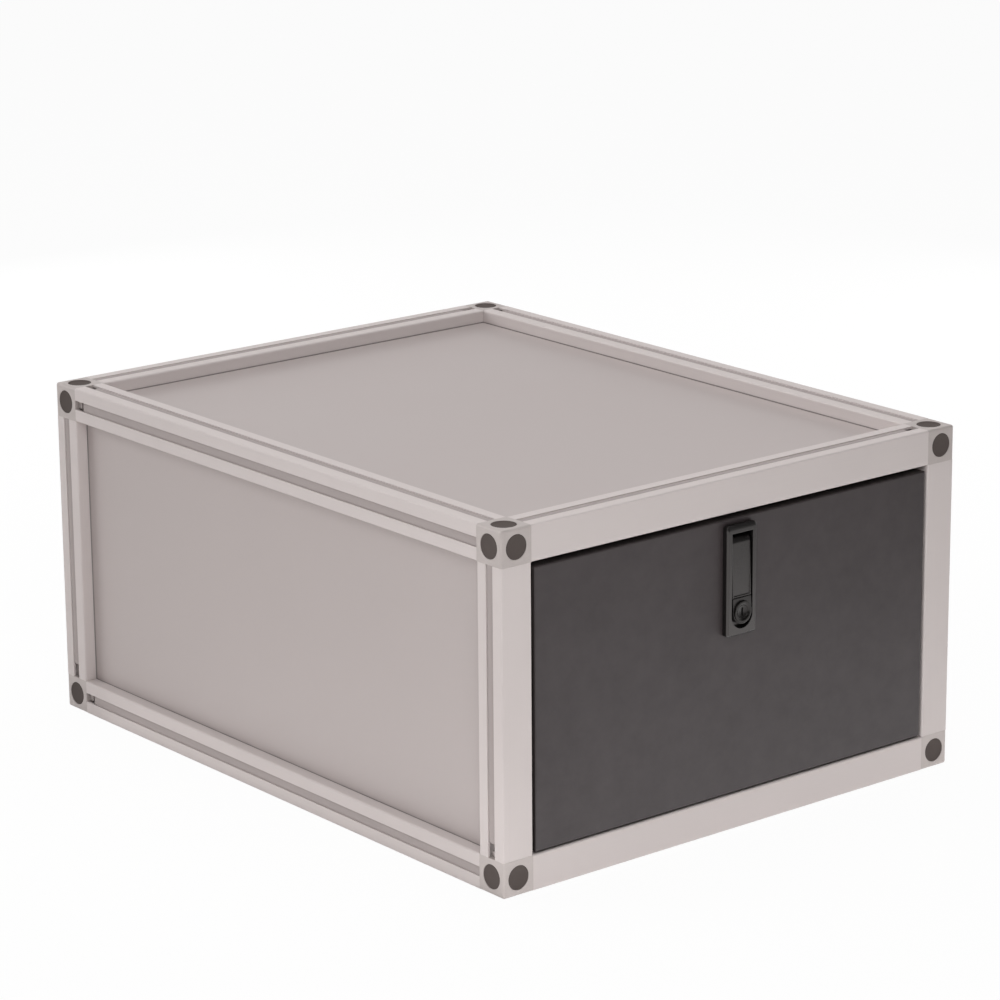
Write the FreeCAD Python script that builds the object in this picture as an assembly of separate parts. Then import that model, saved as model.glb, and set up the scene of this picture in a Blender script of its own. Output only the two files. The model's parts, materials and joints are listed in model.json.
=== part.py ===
import FreeCAD, Part
import math
import os

# Lockable drawer module: an aluminium profile box with die-cast corner blocks, let-in
# panels, and a plywood drawer on ball slides with a lever and key latch in its front.
# Millimetres. X is to the right seen from the front, Y runs from front to back, Z is up.
# The origin is the bottom centre of the frame.

# Frame, overall
frame_width = 490.0
frame_depth = 620.0
frame_height = 300.0

# Aluminium profile
profile_size = 30.0
profile_edge_radius = 1.5
slot_mouth = 8.2
slot_lip = 2.0
slot_inner_width = 16.5
slot_straight_depth = 4.2
slot_depth = 9.0
core_bore = 7.0

# Corner blocks, their locating keys, screws and caps
block_wall = 4.0
block_edge_radius = 2.0
key_width = 7.2
key_setback = 3.9
key_thickness = 4.2
key_length = 5.0
screw_head_diameter = 11.6
screw_head_height = 4.5
screw_reach = 16.0
screw_socket = 5.0
screw_socket_depth = 2.5
cap_diameter = 20.3
cap_thickness = 1.2
cap_skirt_diameter = 17.8
cap_skirt_wall = 1.2
cap_skirt_length = 3.6

# Panels and their edge seals
panel_thickness = 6.5
panel_insertion = 7.0
panel_corner_gap = 0.5
seal_wall = 0.75
seal_lip = 0.4

# Cover strips in the outer slots
strip_recess = 1.0
strip_web = 1.2
strip_leg = 1.0
strip_hook = 0.6
strip_leg_length = 1.4
strip_end_gap = 13.0

# Ball slides, measured from the post's face towards the drawer and from the slide's middle
slide_height = 45.0
slide_thickness = 12.7
slide_setback = 16.0
slide_back_setback = 20.0
slide_centre_height = 110.0
slide_travel_loss = 34.0
outer_web = 1.5
outer_flange = 2.4
middle_web = 1.4
middle_flange = 2.55
middle_end_gap = 2.0
inner_end_gap = 1.0
inner_web = 1.4
inner_flange = 2.05
ball_diameter = 4.0
ball_centre = 7.6
ball_race_gap = 2.5
balls_per_row = 8
cage_arm = 1.0
cage_web = 0.5
cage_end_gap = 5.0
cage_arm_reach = 10.2
member_reach = 10.8
bumper_length = 9.7
slide_screw_rise = 10.0
slide_screw_pitch = 219.0

# Drawer
drawer_front_thickness = 12.0
drawer_gap_side = 3.0
drawer_gap_top = 4.5
drawer_gap_bottom = 2.0
drawer_front_bevel = 0.8
drawer_board = 12.0
drawer_base_thickness = 9.0
drawer_base_groove = 5.0
drawer_base_rise = 10.0
drawer_side_rise = 4.0
drawer_side_drop = 25.5
bracket_leg = 25.0
bracket_sheet = 2.0
bracket_width = 20.0
bracket_screw_inset = 15.0
bracket_low_rise = 22.0
bracket_high_drop = 37.0
back_screw_margin = 20.0
back_screw_reach = 24.0
wood_screw_diameter = 3.9
wood_screw_head = 7.0
wood_screw_head_height = 2.2
wood_screw_bite = 8.5
driver_slot = 0.9

# Latch, set into the drawer front
latch_drop = 51.0
bezel_width = 32.0
bezel_height = 93.0
bezel_proud = 6.0
bezel_bevel = 1.6
bezel_corner_radius = 2.5
mouth_width = 22.4
mouth_top_margin = 5.5
mouth_bottom_margin = 5.8
mouth_depth = 5.0
dish_wall = 2.0
dish_depth = 24.0
dish_floor = 2.0
dish_shelf = 1.6
lever_pin_diameter = 3.0
lever_pin_depth = 12.0
lever_pin_drop = 5.5
lever_width = 20.0
lever_thickness = 3.0
lever_rise = 32.3
lever_barrel_diameter = 6.8
lever_rim = 1.2
lever_rim_depth = 0.7
lever_top_recess = 2.0
lever_bottom_recess = 0.5
lever_bend_drop = 3.0
lever_top_bevel = 2.5
lever_neck_thickness = 4.8
lever_neck_length = 11.0
lever_spring_gap = 7.2
button_width = 19.8
button_height = 21.8
button_lever_gap = 0.6
button_top_recess = 0.3
button_bottom_proud = 1.2
button_depth = 17.0
button_travel = 3.0
shell_flange_diameter = 18.2
shell_flange_thickness = 3.3
shell_diameter = 15.9
shell_length = 17.5
shell_proud = 1.8
shell_cone_diameter = 15.2
plug_diameter = 10.9
plug_recess = 1.2
plug_collar_diameter = 14.0
plug_collar_thickness = 1.5
keyway_width = 1.6
keyway_height = 7.0
keyway_depth = 10.0
tail_width = 5.0
tail_thickness = 2.0
bolt_thickness = 4.0
bolt_width = 18.0
bolt_neck = 61.7
bolt_parking_gap = 2.3
rack_arm_width = 5.35
gear_module = 1.0
gear_teeth = 13
gear_pressure_angle = 20.0
gear_backlash = 0.15
gear_tip = 0.9
gear_root = 0.95
rack_tip = 0.7
rack_root = 1.15
rack_mesh_length = 4.5
pinion_hub_diameter = 8.0
carrier_sheet = 2.0
carrier_width = 40.0
carrier_foot = 14.0
foot_screw_spacing = 46.5
boss_size = 4.6
guide_wall = 2.7
guide_lip = 3.0
guide_lip_thickness = 1.5
guide_margin = 1.5
strap_width = 12.0
machine_screw_diameter = 3.0
machine_screw_head = 5.4
machine_screw_length = 7.0
button_spring_wire = 0.8
button_spring_turns = 3
lever_spring_wire = 0.7
lever_spring_turns = 4
lever_spring_leg = 9.0

# Clearances
fit = 0.05
cap_gap = 0.1
strip_gap = 0.15
sliding_gap = 0.3
running_gap = 0.1
spring_gap = 0.2

# How far a cutting shape runs past the surface that it opens
over = 1.0

# How close two places lie to count as the same
touch = 0.01

AXES = {"x": FreeCAD.Vector(1, 0, 0), "y": FreeCAD.Vector(0, 1, 0), "z": FreeCAD.Vector(0, 0, 1)}
ORIGIN = FreeCAD.Vector(0, 0, 0)


# Shape helpers. A plane's two numbers are the other two axes in X, Y, Z order.

def point(axis, along, a, b):
    """Return the point at a distance along an axis, with its two other coordinates."""
    if axis == "x":
        return FreeCAD.Vector(along, a, b)
    if axis == "y":
        return FreeCAD.Vector(a, along, b)
    return FreeCAD.Vector(a, b, along)


def block(xs, ys, zs):
    """Return a box between two values on each axis, given in either order."""
    low = [min(pair) for pair in (xs, ys, zs)]
    high = [max(pair) for pair in (xs, ys, zs)]
    size = [high[i] - low[i] for i in range(3)]
    return Part.makeBox(size[0], size[1], size[2], FreeCAD.Vector(*low))


def prism(axis, outline, start, end):
    """Return a straight body with a polygon outline between two places on an axis."""
    points = [point(axis, start, a, b) for a, b in outline]
    face = Part.Face(Part.makePolygon(points + points[:1]))
    return face.extrude(AXES[axis] * (end - start))


def cylinder(axis, centre, radius, start, end):
    """Return a round bar along an axis."""
    base = point(axis, min(start, end), *centre)
    return Part.makeCylinder(radius, abs(end - start), base, AXES[axis])


def cone(axis, centre, start_radius, end_radius, start, end):
    """Return a cone along an axis, with a radius for each end."""
    if start > end:
        start, end, start_radius, end_radius = end, start, end_radius, start_radius
    base = point(axis, start, *centre)
    return Part.makeCone(start_radius, end_radius, end - start, base, AXES[axis])


def joined(first, *rest):
    """Return one solid fused from touching or overlapping ones."""
    return first.fuse(list(rest)).removeSplitter()


def hexagon(flats, centre):
    """Return the corners of a hexagon by its width across flats."""
    radius = flats / math.sqrt(3)
    angles = [math.radians(60 * i) for i in range(6)]
    return [(centre[0] + radius * math.cos(t), centre[1] + radius * math.sin(t)) for t in angles]


def u_outline(half_width, top, arc_centre):
    """Return a U-shaped face in the X-Z plane: flat top, straight sides, round bottom."""
    corners = [
        FreeCAD.Vector(-half_width, 0, top),
        FreeCAD.Vector(half_width, 0, top),
        FreeCAD.Vector(half_width, 0, arc_centre),
        FreeCAD.Vector(-half_width, 0, arc_centre),
    ]
    bottom = FreeCAD.Vector(0, 0, arc_centre - half_width)
    edges = [
        Part.makeLine(corners[0], corners[1]),
        Part.makeLine(corners[1], corners[2]),
        Part.Arc(corners[2], bottom, corners[3]).toShape(),
        Part.makeLine(corners[3], corners[0]),
    ]
    return Part.Face(Part.Wire(edges))


def u_body(half_width, top, arc_centre, start, end):
    """Return a U-shaped body between two depths."""
    face = u_outline(half_width, top, arc_centre)
    face.translate(FreeCAD.Vector(0, start, 0))
    return face.extrude(FreeCAD.Vector(0, end - start, 0))


# Aluminium profiles

half_profile = profile_size / 2
slot_base_half = slot_inner_width / 2 - (slot_depth - slot_straight_depth)

# The four sides of a bar, in the order in which its section is drawn
BAR_SIDES = {
    "x": ["+y", "+z", "-y", "-z"],
    "y": ["+z", "+x", "-z", "-x"],
    "z": ["+x", "+y", "-x", "-y"],
}
BAR_TURN = {"z": 0, "x": 120, "y": 240}


def lay_bar(shape, axis, base):
    """Turn a shape drawn along Z to lie along an axis, then move it to its base point."""
    turn = FreeCAD.Rotation(FreeCAD.Vector(1, 1, 1), BAR_TURN[axis])
    shape.Placement = FreeCAD.Placement(base, turn).multiply(shape.Placement)
    return shape


def on_side(shape, axis, side):
    """Turn a shape drawn on a bar's first side to another side of the bar."""
    shape.rotate(ORIGIN, AXES["z"], 90 * BAR_SIDES[axis].index(side))
    return shape


def slot_tool(length, is_open):
    """Return what a slot takes out of a bar, with or without its mouth."""
    lip = half_profile - slot_lip
    shoulder = half_profile - slot_straight_depth
    floor = half_profile - slot_depth
    inner = slot_inner_width / 2
    mouth = slot_mouth / 2
    below = [(lip, -inner), (shoulder, -inner), (floor, -slot_base_half)]
    above = [(x, -y) for x, y in reversed(below)]
    outline = below + above
    if is_open:
        outer = half_profile + over
        outline = [(outer, -mouth), (lip, -mouth)] + outline + [(lip, mouth), (outer, mouth)]
    return prism("z", outline, -over, length + over)


def profile_bar(axis, base, length, closed):
    """Return one cut length of profile, with closed faces on the named sides."""
    bar = block((-half_profile, half_profile), (-half_profile, half_profile), (0, length))
    long_edges = [e for e in bar.Edges if abs(e.tangentAt(e.FirstParameter).z) > 0.9]
    bar = bar.makeFillet(profile_edge_radius, long_edges)
    tools = [on_side(slot_tool(length, side not in closed), axis, side) for side in BAR_SIDES[axis]]
    tools.append(cylinder("z", (0, 0), core_bore / 2, -over, length + over))
    bar = bar.cut(tools).Solids[0]
    return lay_bar(bar, axis, base)


def cover_strip(axis, base, side, start, end):
    """Return one clip-in strip that closes an outer slot, a little below the face."""
    top = half_profile - strip_recess
    under = top - strip_web
    catch = half_profile - slot_lip - strip_gap
    tip = catch - strip_leg_length
    edge = slot_mouth / 2 - strip_gap
    hook = edge + strip_hook
    leg_in = edge - strip_leg
    right = [(top, edge), (catch, edge), (catch, hook), (tip, edge), (tip, leg_in), (under, leg_in)]
    left = [(x, -y) for x, y in reversed(right)]
    strip = prism("z", right + left, start, end)
    return lay_bar(on_side(strip, axis, side), axis, base)


SIGN = {"left": -1, "right": 1, "front": -1, "back": 1, "bottom": -1, "top": 1}
centre_x = frame_width / 2 - half_profile
centre_y = frame_depth / 2 - half_profile
centre_low = half_profile
centre_high = frame_height - half_profile
HEIGHT = {"bottom": centre_low, "top": centre_high}


def bars():
    """Return each bar with its axis, base, length, closed sides and outward sides."""
    table = {}
    for depth in ("front", "back"):
        for hand in ("left", "right"):
            sx, sy = SIGN[hand], SIGN[depth]
            outward = ["+x" if sx > 0 else "-x", "+y" if sy > 0 else "-y"]
            closed = ["-y", "-x" if sx > 0 else "+x"] if depth == "front" else []
            base = FreeCAD.Vector(sx * centre_x, sy * centre_y, profile_size)
            length = frame_height - 2 * profile_size
            table["post_" + depth + "_" + hand] = ("z", base, length, closed, outward)
    for level in ("bottom", "top"):
        sz = SIGN[level]
        outward_z = "+z" if sz > 0 else "-z"
        for depth in ("front", "back"):
            sy = SIGN[depth]
            outward = [outward_z, "+y" if sy > 0 else "-y"]
            closed = ["-y", "-z" if sz > 0 else "+z"] if depth == "front" else []
            base = FreeCAD.Vector(profile_size - frame_width / 2, sy * centre_y, HEIGHT[level])
            length = frame_width - 2 * profile_size
            table["rail_" + level + "_" + depth] = ("x", base, length, closed, outward)
        for hand in ("left", "right"):
            sx = SIGN[hand]
            outward = [outward_z, "+x" if sx > 0 else "-x"]
            base = FreeCAD.Vector(sx * centre_x, profile_size - frame_depth / 2, HEIGHT[level])
            length = frame_depth - 2 * profile_size
            table["rail_" + level + "_" + hand] = ("y", base, length, [], outward)
    return table


def cover_strips(table):
    """Return the strips of every open outer slot. Each stops short of one corner block."""
    strips = []
    for axis, base, length, closed, outward in table.values():
        start = strip_end_gap if axis == "z" else 0
        end = length if axis == "z" else length - strip_end_gap
        for side in outward:
            if side not in closed:
                strips.append(cover_strip(axis, base, side, start, end))
    return Part.makeCompound(strips)


# Corner blocks

def towards(axis, centre, sign, near, far):
    """Return the pair of places on one axis at two distances from a centre, outwards."""
    middle = centre["xyz".index(axis)]
    return middle + sign * near, middle + sign * far


def other_two(axis, centre):
    """Return a centre's two other coordinates."""
    return [centre[i] for i in range(3) if "xyz"[i] != axis]


def locating_keys(centre, signs):
    """Return the short keys that reach from a block into the outer slots of its three bars."""
    keys = []
    for along in "xyz":
        for outer in "xyz":
            if outer == along:
                continue
            spans = {}
            for axis in "xyz":
                sign = signs["xyz".index(axis)]
                if axis == along:
                    start, end = half_profile - over, half_profile + key_length
                    spans[axis] = towards(axis, centre, -sign, start, end)
                elif axis == outer:
                    face = half_profile - key_setback
                    spans[axis] = towards(axis, centre, sign, face - key_thickness, face)
                else:
                    spans[axis] = towards(axis, centre, sign, -key_width / 2, key_width / 2)
            keys.append(block(spans["x"], spans["y"], spans["z"]))
    return keys


def corner_block(centre, signs):
    """Return one hollow corner block with cap seats outside and screw holes inside."""
    spans = [towards(axis, centre, 1, -half_profile, half_profile) for axis in "xyz"]
    body = block(*spans)
    rounded = []
    for edge in body.Edges:
        middle = edge.CenterOfMass
        outer = [abs((middle[i] - centre[i]) * signs[i] - half_profile) < touch for i in range(3)]
        if outer.count(True) == 2:
            rounded.append(edge)
    body = body.makeFillet(block_edge_radius, rounded)
    body = joined(body, *locating_keys(centre, signs))
    inside = half_profile - block_wall
    tools = [block(*[towards(axis, centre, 1, -inside, inside) for axis in "xyz"])]
    for axis, sign in zip("xyz", signs):
        middle = other_two(axis, centre)
        reach = towards(axis, centre, sign, 0, half_profile + over)
        tools.append(cylinder(axis, middle, cap_skirt_diameter / 2 + cap_gap, *reach))
        seat = towards(axis, centre, sign, half_profile - cap_thickness, half_profile + over)
        tools.append(cylinder(axis, middle, cap_diameter / 2 + cap_gap, *seat))
        wall = towards(axis, centre, -sign, 0, half_profile + over)
        tools.append(cylinder(axis, middle, core_bore / 2 + cap_gap, *wall))
    return body.cut(tools).Solids[0]


def corner_cap(axis, centre, sign):
    """Return one push-in cap: a flush disc with a thin skirt behind it."""
    middle = other_two(axis, centre)
    under = half_profile - cap_thickness
    disc = cylinder(axis, middle, cap_diameter / 2, *towards(axis, centre, sign, under, half_profile))
    span = towards(axis, centre, sign, under - cap_skirt_length, under)
    skirt = cylinder(axis, middle, cap_skirt_diameter / 2, *span)
    bore = cylinder(axis, middle, cap_skirt_diameter / 2 - cap_skirt_wall, *span)
    return joined(disc, skirt.cut(bore))


def corner_screw(axis, centre, sign):
    """Return one socket screw that holds a bar's end to a block, through the block's wall."""
    middle = other_two(axis, centre)
    seat = half_profile - block_wall
    head_top = seat - screw_head_height
    head = cylinder(axis, middle, screw_head_diameter / 2, *towards(axis, centre, -sign, head_top, seat))
    end = half_profile + screw_reach
    shank = cylinder(axis, middle, core_bore / 2 - fit, *towards(axis, centre, -sign, seat, end))
    span = towards(axis, centre, -sign, head_top - over, head_top + screw_socket_depth)
    socket = prism(axis, hexagon(screw_socket, middle), *span)
    return joined(head, shank).cut(socket).Solids[0]


def corners():
    """Return each corner block's name, centre and outward signs."""
    table = {}
    for level in ("bottom", "top"):
        for depth in ("front", "back"):
            for hand in ("left", "right"):
                signs = (SIGN[hand], SIGN[depth], SIGN[level])
                centre = (signs[0] * centre_x, signs[1] * centre_y, HEIGHT[level])
                table["corner_block_" + "_".join((level, depth, hand))] = (centre, signs)
    return table


# Panels and seals

def panel(axis, plane, first, second):
    """Return one panel let into the slots round an opening, with its corners notched."""
    a_low, a_high = first[0] - panel_insertion, first[1] + panel_insertion
    b_low, b_high = second[0] - panel_insertion, second[1] + panel_insertion
    a_in, a_out = first[0] + panel_corner_gap, first[1] - panel_corner_gap
    b_in, b_out = second[0] + panel_corner_gap, second[1] - panel_corner_gap
    outline = [
        (a_in, b_low), (a_out, b_low), (a_out, b_in), (a_high, b_in),
        (a_high, b_out), (a_out, b_out), (a_out, b_high), (a_in, b_high),
        (a_in, b_out), (a_low, b_out), (a_low, b_in), (a_in, b_in),
    ]
    half = panel_thickness / 2
    return prism(axis, outline, plane - half, plane + half)


def edge_seals(axis, plane, first, second):
    """Return the four U-shaped rubber seals round a panel's edges."""
    seals = []
    half = panel_thickness / 2
    span = {axis: (plane - half - seal_wall, plane + half + seal_wall)}
    slab = {axis: (plane - half, plane + half)}
    free = [name for name in "xyz" if name != axis]
    openings = dict(zip(free, (first, second)))
    for width in free:
        along = free[1] if width == free[0] else free[0]
        run = (openings[along][0] + panel_corner_gap, openings[along][1] - panel_corner_gap)
        for edge, sign in zip(openings[width], (-1, 1)):
            outer = dict(span)
            outer[along] = run
            outer[width] = (edge - sign * seal_lip, edge + sign * (panel_insertion + seal_wall))
            inner = dict(slab)
            inner[along] = (run[0] - over, run[1] + over)
            inner[width] = (edge - sign * (seal_lip + over), edge + sign * panel_insertion)
            body = block(*[outer[name] for name in "xyz"])
            seals.append(body.cut(block(*[inner[name] for name in "xyz"])).Solids[0])
    return seals


def panels():
    """Return each panel's name, normal axis, plane and the opening that it fills."""
    x_span = (profile_size - frame_width / 2, frame_width / 2 - profile_size)
    y_span = (profile_size - frame_depth / 2, frame_depth / 2 - profile_size)
    z_span = (profile_size, frame_height - profile_size)
    return {
        "panel_top": ("z", centre_high, x_span, y_span),
        "panel_bottom": ("z", centre_low, x_span, y_span),
        "panel_left": ("x", -centre_x, y_span, z_span),
        "panel_right": ("x", centre_x, y_span, z_span),
        "panel_back": ("y", centre_y, x_span, z_span),
    }


# Ball slides. Each function draws one hand: side is -1 for the left and 1 for the right.

post_face = frame_width / 2 - profile_size
slide_front = slide_setback - frame_depth / 2
slide_back = frame_depth / 2 - slide_back_setback
slide_travel = slide_back - slide_front - slide_travel_loss
half_slide = slide_height / 2
race_radius = ball_diameter / 2 + running_gap
outer_flange_face = half_slide - outer_flange
outer_row = outer_flange_face - ball_race_gap / 2
middle_flange_face = outer_flange_face - ball_race_gap
middle_flange_inside = middle_flange_face - middle_flange
inner_row = middle_flange_inside - ball_race_gap / 2
inner_flange_face = middle_flange_inside - ball_race_gap
outer_cage_start = outer_web + sliding_gap
middle_start = outer_cage_start + cage_web + sliding_gap
inner_cage_start = middle_start + middle_web + sliding_gap
inner_start = inner_cage_start + cage_web + sliding_gap
middle_front = slide_front + middle_end_gap
middle_back = slide_back - bumper_length - sliding_gap
inner_back = middle_back - inner_end_gap
cage_length = inner_back - middle_front - slide_travel / 2 - 2 * cage_end_gap
slide_screw_edge = (profile_size - slot_inner_width) / 4
screw_radius = wood_screw_diameter / 2
screw_hole = screw_radius + fit


def from_post(side, near, far):
    """Return X places at two distances from the post's inner face, towards the drawer."""
    return side * (post_face - near), side * (post_face - far)


def channel(side, web, reach, face, flange, start, end):
    """Return a C-shaped slide member: web and reach are X distances from the post's face."""
    low, high = slide_centre_height - face, slide_centre_height + face
    inner_low, inner_high = low + flange, high - flange
    outline = [
        (reach[0], low), (reach[1], low), (reach[1], inner_low), (web, inner_low),
        (web, inner_high), (reach[1], inner_high), (reach[1], high), (reach[0], high),
    ]
    placed = [(side * (post_face - u), z) for u, z in outline]
    return prism("y", placed, start, end)


def races(side, row, start, end):
    """Return the two long round grooves of one row of balls."""
    x = side * (post_face - ball_centre)
    heights = (slide_centre_height - row, slide_centre_height + row)
    return [cylinder("y", (x, z), race_radius, start - over, end + over) for z in heights]


def post_screw_places():
    """Return the Y and Z of the four screws that hold a slide to its two posts."""
    front = profile_size - frame_depth / 2 - slide_screw_edge
    heights = (slide_centre_height - slide_screw_rise, slide_centre_height + slide_screw_rise)
    return [(y, z) for y in (front, -front) for z in heights]


def slide_outer(side):
    """Return the fixed member, screwed to the front and back posts."""
    reach = (0, member_reach)
    body = channel(side, outer_web, reach, half_slide, outer_flange, slide_front, slide_back)
    tools = races(side, outer_row, slide_front, slide_back)
    for place in post_screw_places():
        wide = wood_screw_head / 2 + fit
        tools.append(cone("x", place, screw_hole, wide, *from_post(side, 0, outer_web)))
    return body.cut(tools).Solids[0]


def slide_middle(side):
    """Return the member that runs between the fixed one and the drawer's."""
    web = middle_start + middle_web
    reach = (middle_start, member_reach)
    body = channel(side, web, reach, middle_flange_face, middle_flange, middle_front, middle_back)
    tools = races(side, outer_row, middle_front, middle_back)
    tools += races(side, inner_row, middle_front, middle_back)
    return body.cut(tools).Solids[0]


def slide_screw_places():
    """Return the Y and Z of the three screws that hold the drawer's member to its side."""
    return [(y, slide_centre_height) for y in (-slide_screw_pitch, 0, slide_screw_pitch)]


def slide_inner(side):
    """Return the member that is screwed to the drawer's side."""
    web = slide_thickness - inner_web
    reach = (slide_thickness, inner_start)
    body = channel(side, web, reach, inner_flange_face, inner_flange, slide_front, inner_back)
    tools = races(side, inner_row, slide_front, inner_back)
    for place in slide_screw_places():
        span = from_post(side, web - over, slide_thickness + over)
        tools.append(cylinder("x", place, screw_hole, *span))
    return body.cut(tools).Solids[0]


def ball_cage(side, row, start, share, outer_end, inner_end):
    """Return a ball retainer and its balls, centred so that it stays in both its members.

    share is the part of the drawer's travel that the retainer makes; outer_end is the front
    end of the slower member and inner_end the back end of the faster one, both fully open.
    """
    centre = (outer_end + inner_end) / 2 + share * slide_travel
    front, back = centre - cage_length / 2, centre + cage_length / 2
    face = row + cage_arm / 2
    web = start + cage_web
    body = channel(side, web, (start, cage_arm_reach), face, cage_arm, front, back)
    pitch = cage_length / balls_per_row
    x = side * (post_face - ball_centre)
    balls = []
    holes = []
    for i in range(balls_per_row):
        y = front + pitch * (i + 0.5)
        for z in (slide_centre_height - row, slide_centre_height + row):
            balls.append(Part.makeSphere(ball_diameter / 2, FreeCAD.Vector(x, y, z)))
            holes.append(cylinder("z", (x, y), race_radius, z - cage_arm, z + cage_arm))
    return Part.makeCompound([body.cut(holes).Solids[0]] + balls)


def outer_cage(side):
    """Return the retainer between the fixed and the middle member."""
    end = middle_back - slide_travel / 2
    return ball_cage(side, outer_row, outer_cage_start, 0.25, slide_front, end)


def inner_cage(side):
    """Return the retainer between the middle and the drawer's member."""
    front = middle_front - slide_travel / 2
    end = inner_back - slide_travel
    return ball_cage(side, inner_row, inner_cage_start, 0.75, front, end)


def post_screws():
    """Return the countersunk screws that hold both slides to the posts."""
    screws = []
    for side in (-1, 1):
        for place in post_screw_places():
            head = cone("x", place, screw_radius, wood_screw_head / 2, *from_post(side, 0, outer_web))
            shank = cylinder("x", place, screw_radius, *from_post(side, -slide_screw_edge, 0))
            screws.append(joined(head, shank))
    return Part.makeCompound(screws)


def slide_bumpers():
    """Return the rubber stops that the middle members meet when the drawer is shut."""
    stops = []
    for side in (-1, 1):
        half = outer_flange_face - sliding_gap
        heights = (slide_centre_height - half, slide_centre_height + half)
        span = from_post(side, outer_web, member_reach - sliding_gap)
        stops.append(block(span, (middle_back + sliding_gap, slide_back), heights))
    return Part.makeCompound(stops)


# Latch places. Depths are Y, counted into the drawer from the bezel's face.

rail_back = profile_size - frame_depth / 2
rail_underside = frame_height - profile_size
front_low = profile_size + drawer_gap_bottom
front_high = rail_underside - drawer_gap_top
latch_height = front_high - latch_drop
bezel_face = -frame_depth / 2 - bezel_proud
bezel_low = latch_height - bezel_height / 2
bezel_high = latch_height + bezel_height / 2
mouth_half = mouth_width / 2
mouth_top = bezel_high - mouth_top_margin
mouth_arc = bezel_low + mouth_bottom_margin + mouth_half
housing_half = mouth_half + dish_wall
housing_high = mouth_top + dish_wall
housing_low = bezel_low + mouth_bottom_margin - dish_wall
floor_face = bezel_face + dish_depth
floor_back = floor_face + dish_floor
lever_low = bezel_low + lever_rise
button_high = lever_low - button_lever_gap
button_half = button_width / 2
lock_height = button_high - button_height + button_half
button_back = bezel_face + button_depth
guide_half = button_half + sliding_gap
shelf_low = button_high + sliding_gap
shell_face = bezel_face - shell_proud
shell_flange_back = shell_face + shell_flange_thickness
shell_back = shell_flange_back + shell_length
plug_face = shell_face + plug_recess
collar_front = shell_back + running_gap
collar_back = collar_front + plug_collar_thickness
pin_y = bezel_face + lever_pin_depth
pin_z = mouth_top - lever_pin_drop
bolt_front = rail_back + sliding_gap + running_gap
bolt_back = bolt_front + bolt_thickness
carrier_back = bolt_front - sliding_gap
carrier_front = carrier_back - carrier_sheet
carrier_half = carrier_width / 2
foot_screw_x = carrier_half + carrier_foot / 2
boss_x = housing_half - boss_size / 2
pitch_radius = gear_module * gear_teeth / 2
bolt_throw = pitch_radius * math.pi / 2
rack_root_x = -(pitch_radius + rack_root * gear_module)
bolt_left = rack_root_x - rack_arm_width
bolt_right = bolt_left + bolt_width
bolt_top = rail_underside - bolt_parking_gap
bolt_shoulder = bolt_top - bolt_neck

# The tail still drives the pinion with the button out, and stays in it with the button in.
tail_end = bolt_back - button_travel - sliding_gap


# Drawer box

front_face = -frame_depth / 2
front_back = front_face + drawer_front_thickness
side_outer = post_face - slide_thickness
side_inner = side_outer - drawer_board
box_back = inner_back
back_front = box_back - drawer_board
drawer_side_bottom = front_low + drawer_side_rise
drawer_side_top = front_high - drawer_side_drop
base_bottom = drawer_side_bottom + drawer_base_rise
base_top = base_bottom + drawer_base_thickness
base_zs = (base_bottom - running_gap, base_top + running_gap)
bracket_screw_y = front_back + bracket_screw_inset
bracket_screw_x = side_inner - bracket_screw_inset
side_bite = side_inner + wood_screw_bite
front_bite = front_back - wood_screw_bite


def drawer_side(side):
    """Return one side board with its groove for the base and its screw holes."""
    body = block(
        (side * side_inner, side * side_outer), (front_back, box_back),
        (drawer_side_bottom, drawer_side_top))
    groove = side_inner + drawer_base_groove
    span = (side * (side_inner - over), side * groove)
    tools = [block(span, (front_back - over, box_back + over), base_zs)]
    for place in slide_screw_places():
        tools.append(cylinder("x", place, screw_hole, side * side_inner, side * (side_outer + over)))
    for place in back_screw_places():
        head = side_outer - wood_screw_head_height
        wide = wood_screw_head / 2 + fit
        tools.append(cone("x", place, screw_hole, wide, side * head, side * side_outer))
        tools.append(cylinder("x", place, screw_hole, side * (side_inner - over), side * head))
    for z in bracket_places():
        place = (bracket_screw_y, z)
        tools.append(cylinder("x", place, screw_hole, side * (side_inner - over), side * side_bite))
    return body.cut(tools).Solids[0]


def bracket_places():
    """Return the heights of the two corner brackets on each side."""
    return [base_top + bracket_low_rise, drawer_side_top - bracket_high_drop]


def back_screw_places():
    """Return the Y and Z of the three screws from each side into the back board."""
    below = slide_centre_height - half_slide
    above = slide_centre_height + half_slide
    y = (back_front + box_back) / 2
    top = drawer_side_top - back_screw_margin
    return [(y, (base_top + below) / 2), (y, above + back_screw_margin), (y, top)]


def drawer_front():
    """Return the front board, grooved for the base and cut out for the latch."""
    wide = post_face - drawer_gap_side
    body = block((-wide, wide), (front_face, front_back), (front_low, front_high))
    rim = [e for e in body.Edges if e.BoundBox.YMax < front_face + over]
    body = body.makeChamfer(drawer_front_bevel, rim)
    groove_x = side_inner + drawer_base_groove
    groove_y = front_back - drawer_base_groove
    tools = [block((-groove_x, groove_x), (groove_y, front_back + over), base_zs)]
    tools.append(block(
        (-housing_half - sliding_gap, housing_half + sliding_gap),
        (front_face - over, front_back + over),
        (housing_low - sliding_gap, housing_high + sliding_gap)))
    for side in (-1, 1):
        for z in bracket_places():
            place = (side * bracket_screw_x, z)
            tools.append(cylinder("y", place, screw_hole, front_bite, front_back + over))
        for z in foot_screw_heights():
            place = (side * foot_screw_x, z)
            tools.append(cylinder("y", place, screw_hole, front_bite, front_back + over))
    return body.cut(tools).Solids[0]


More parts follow.
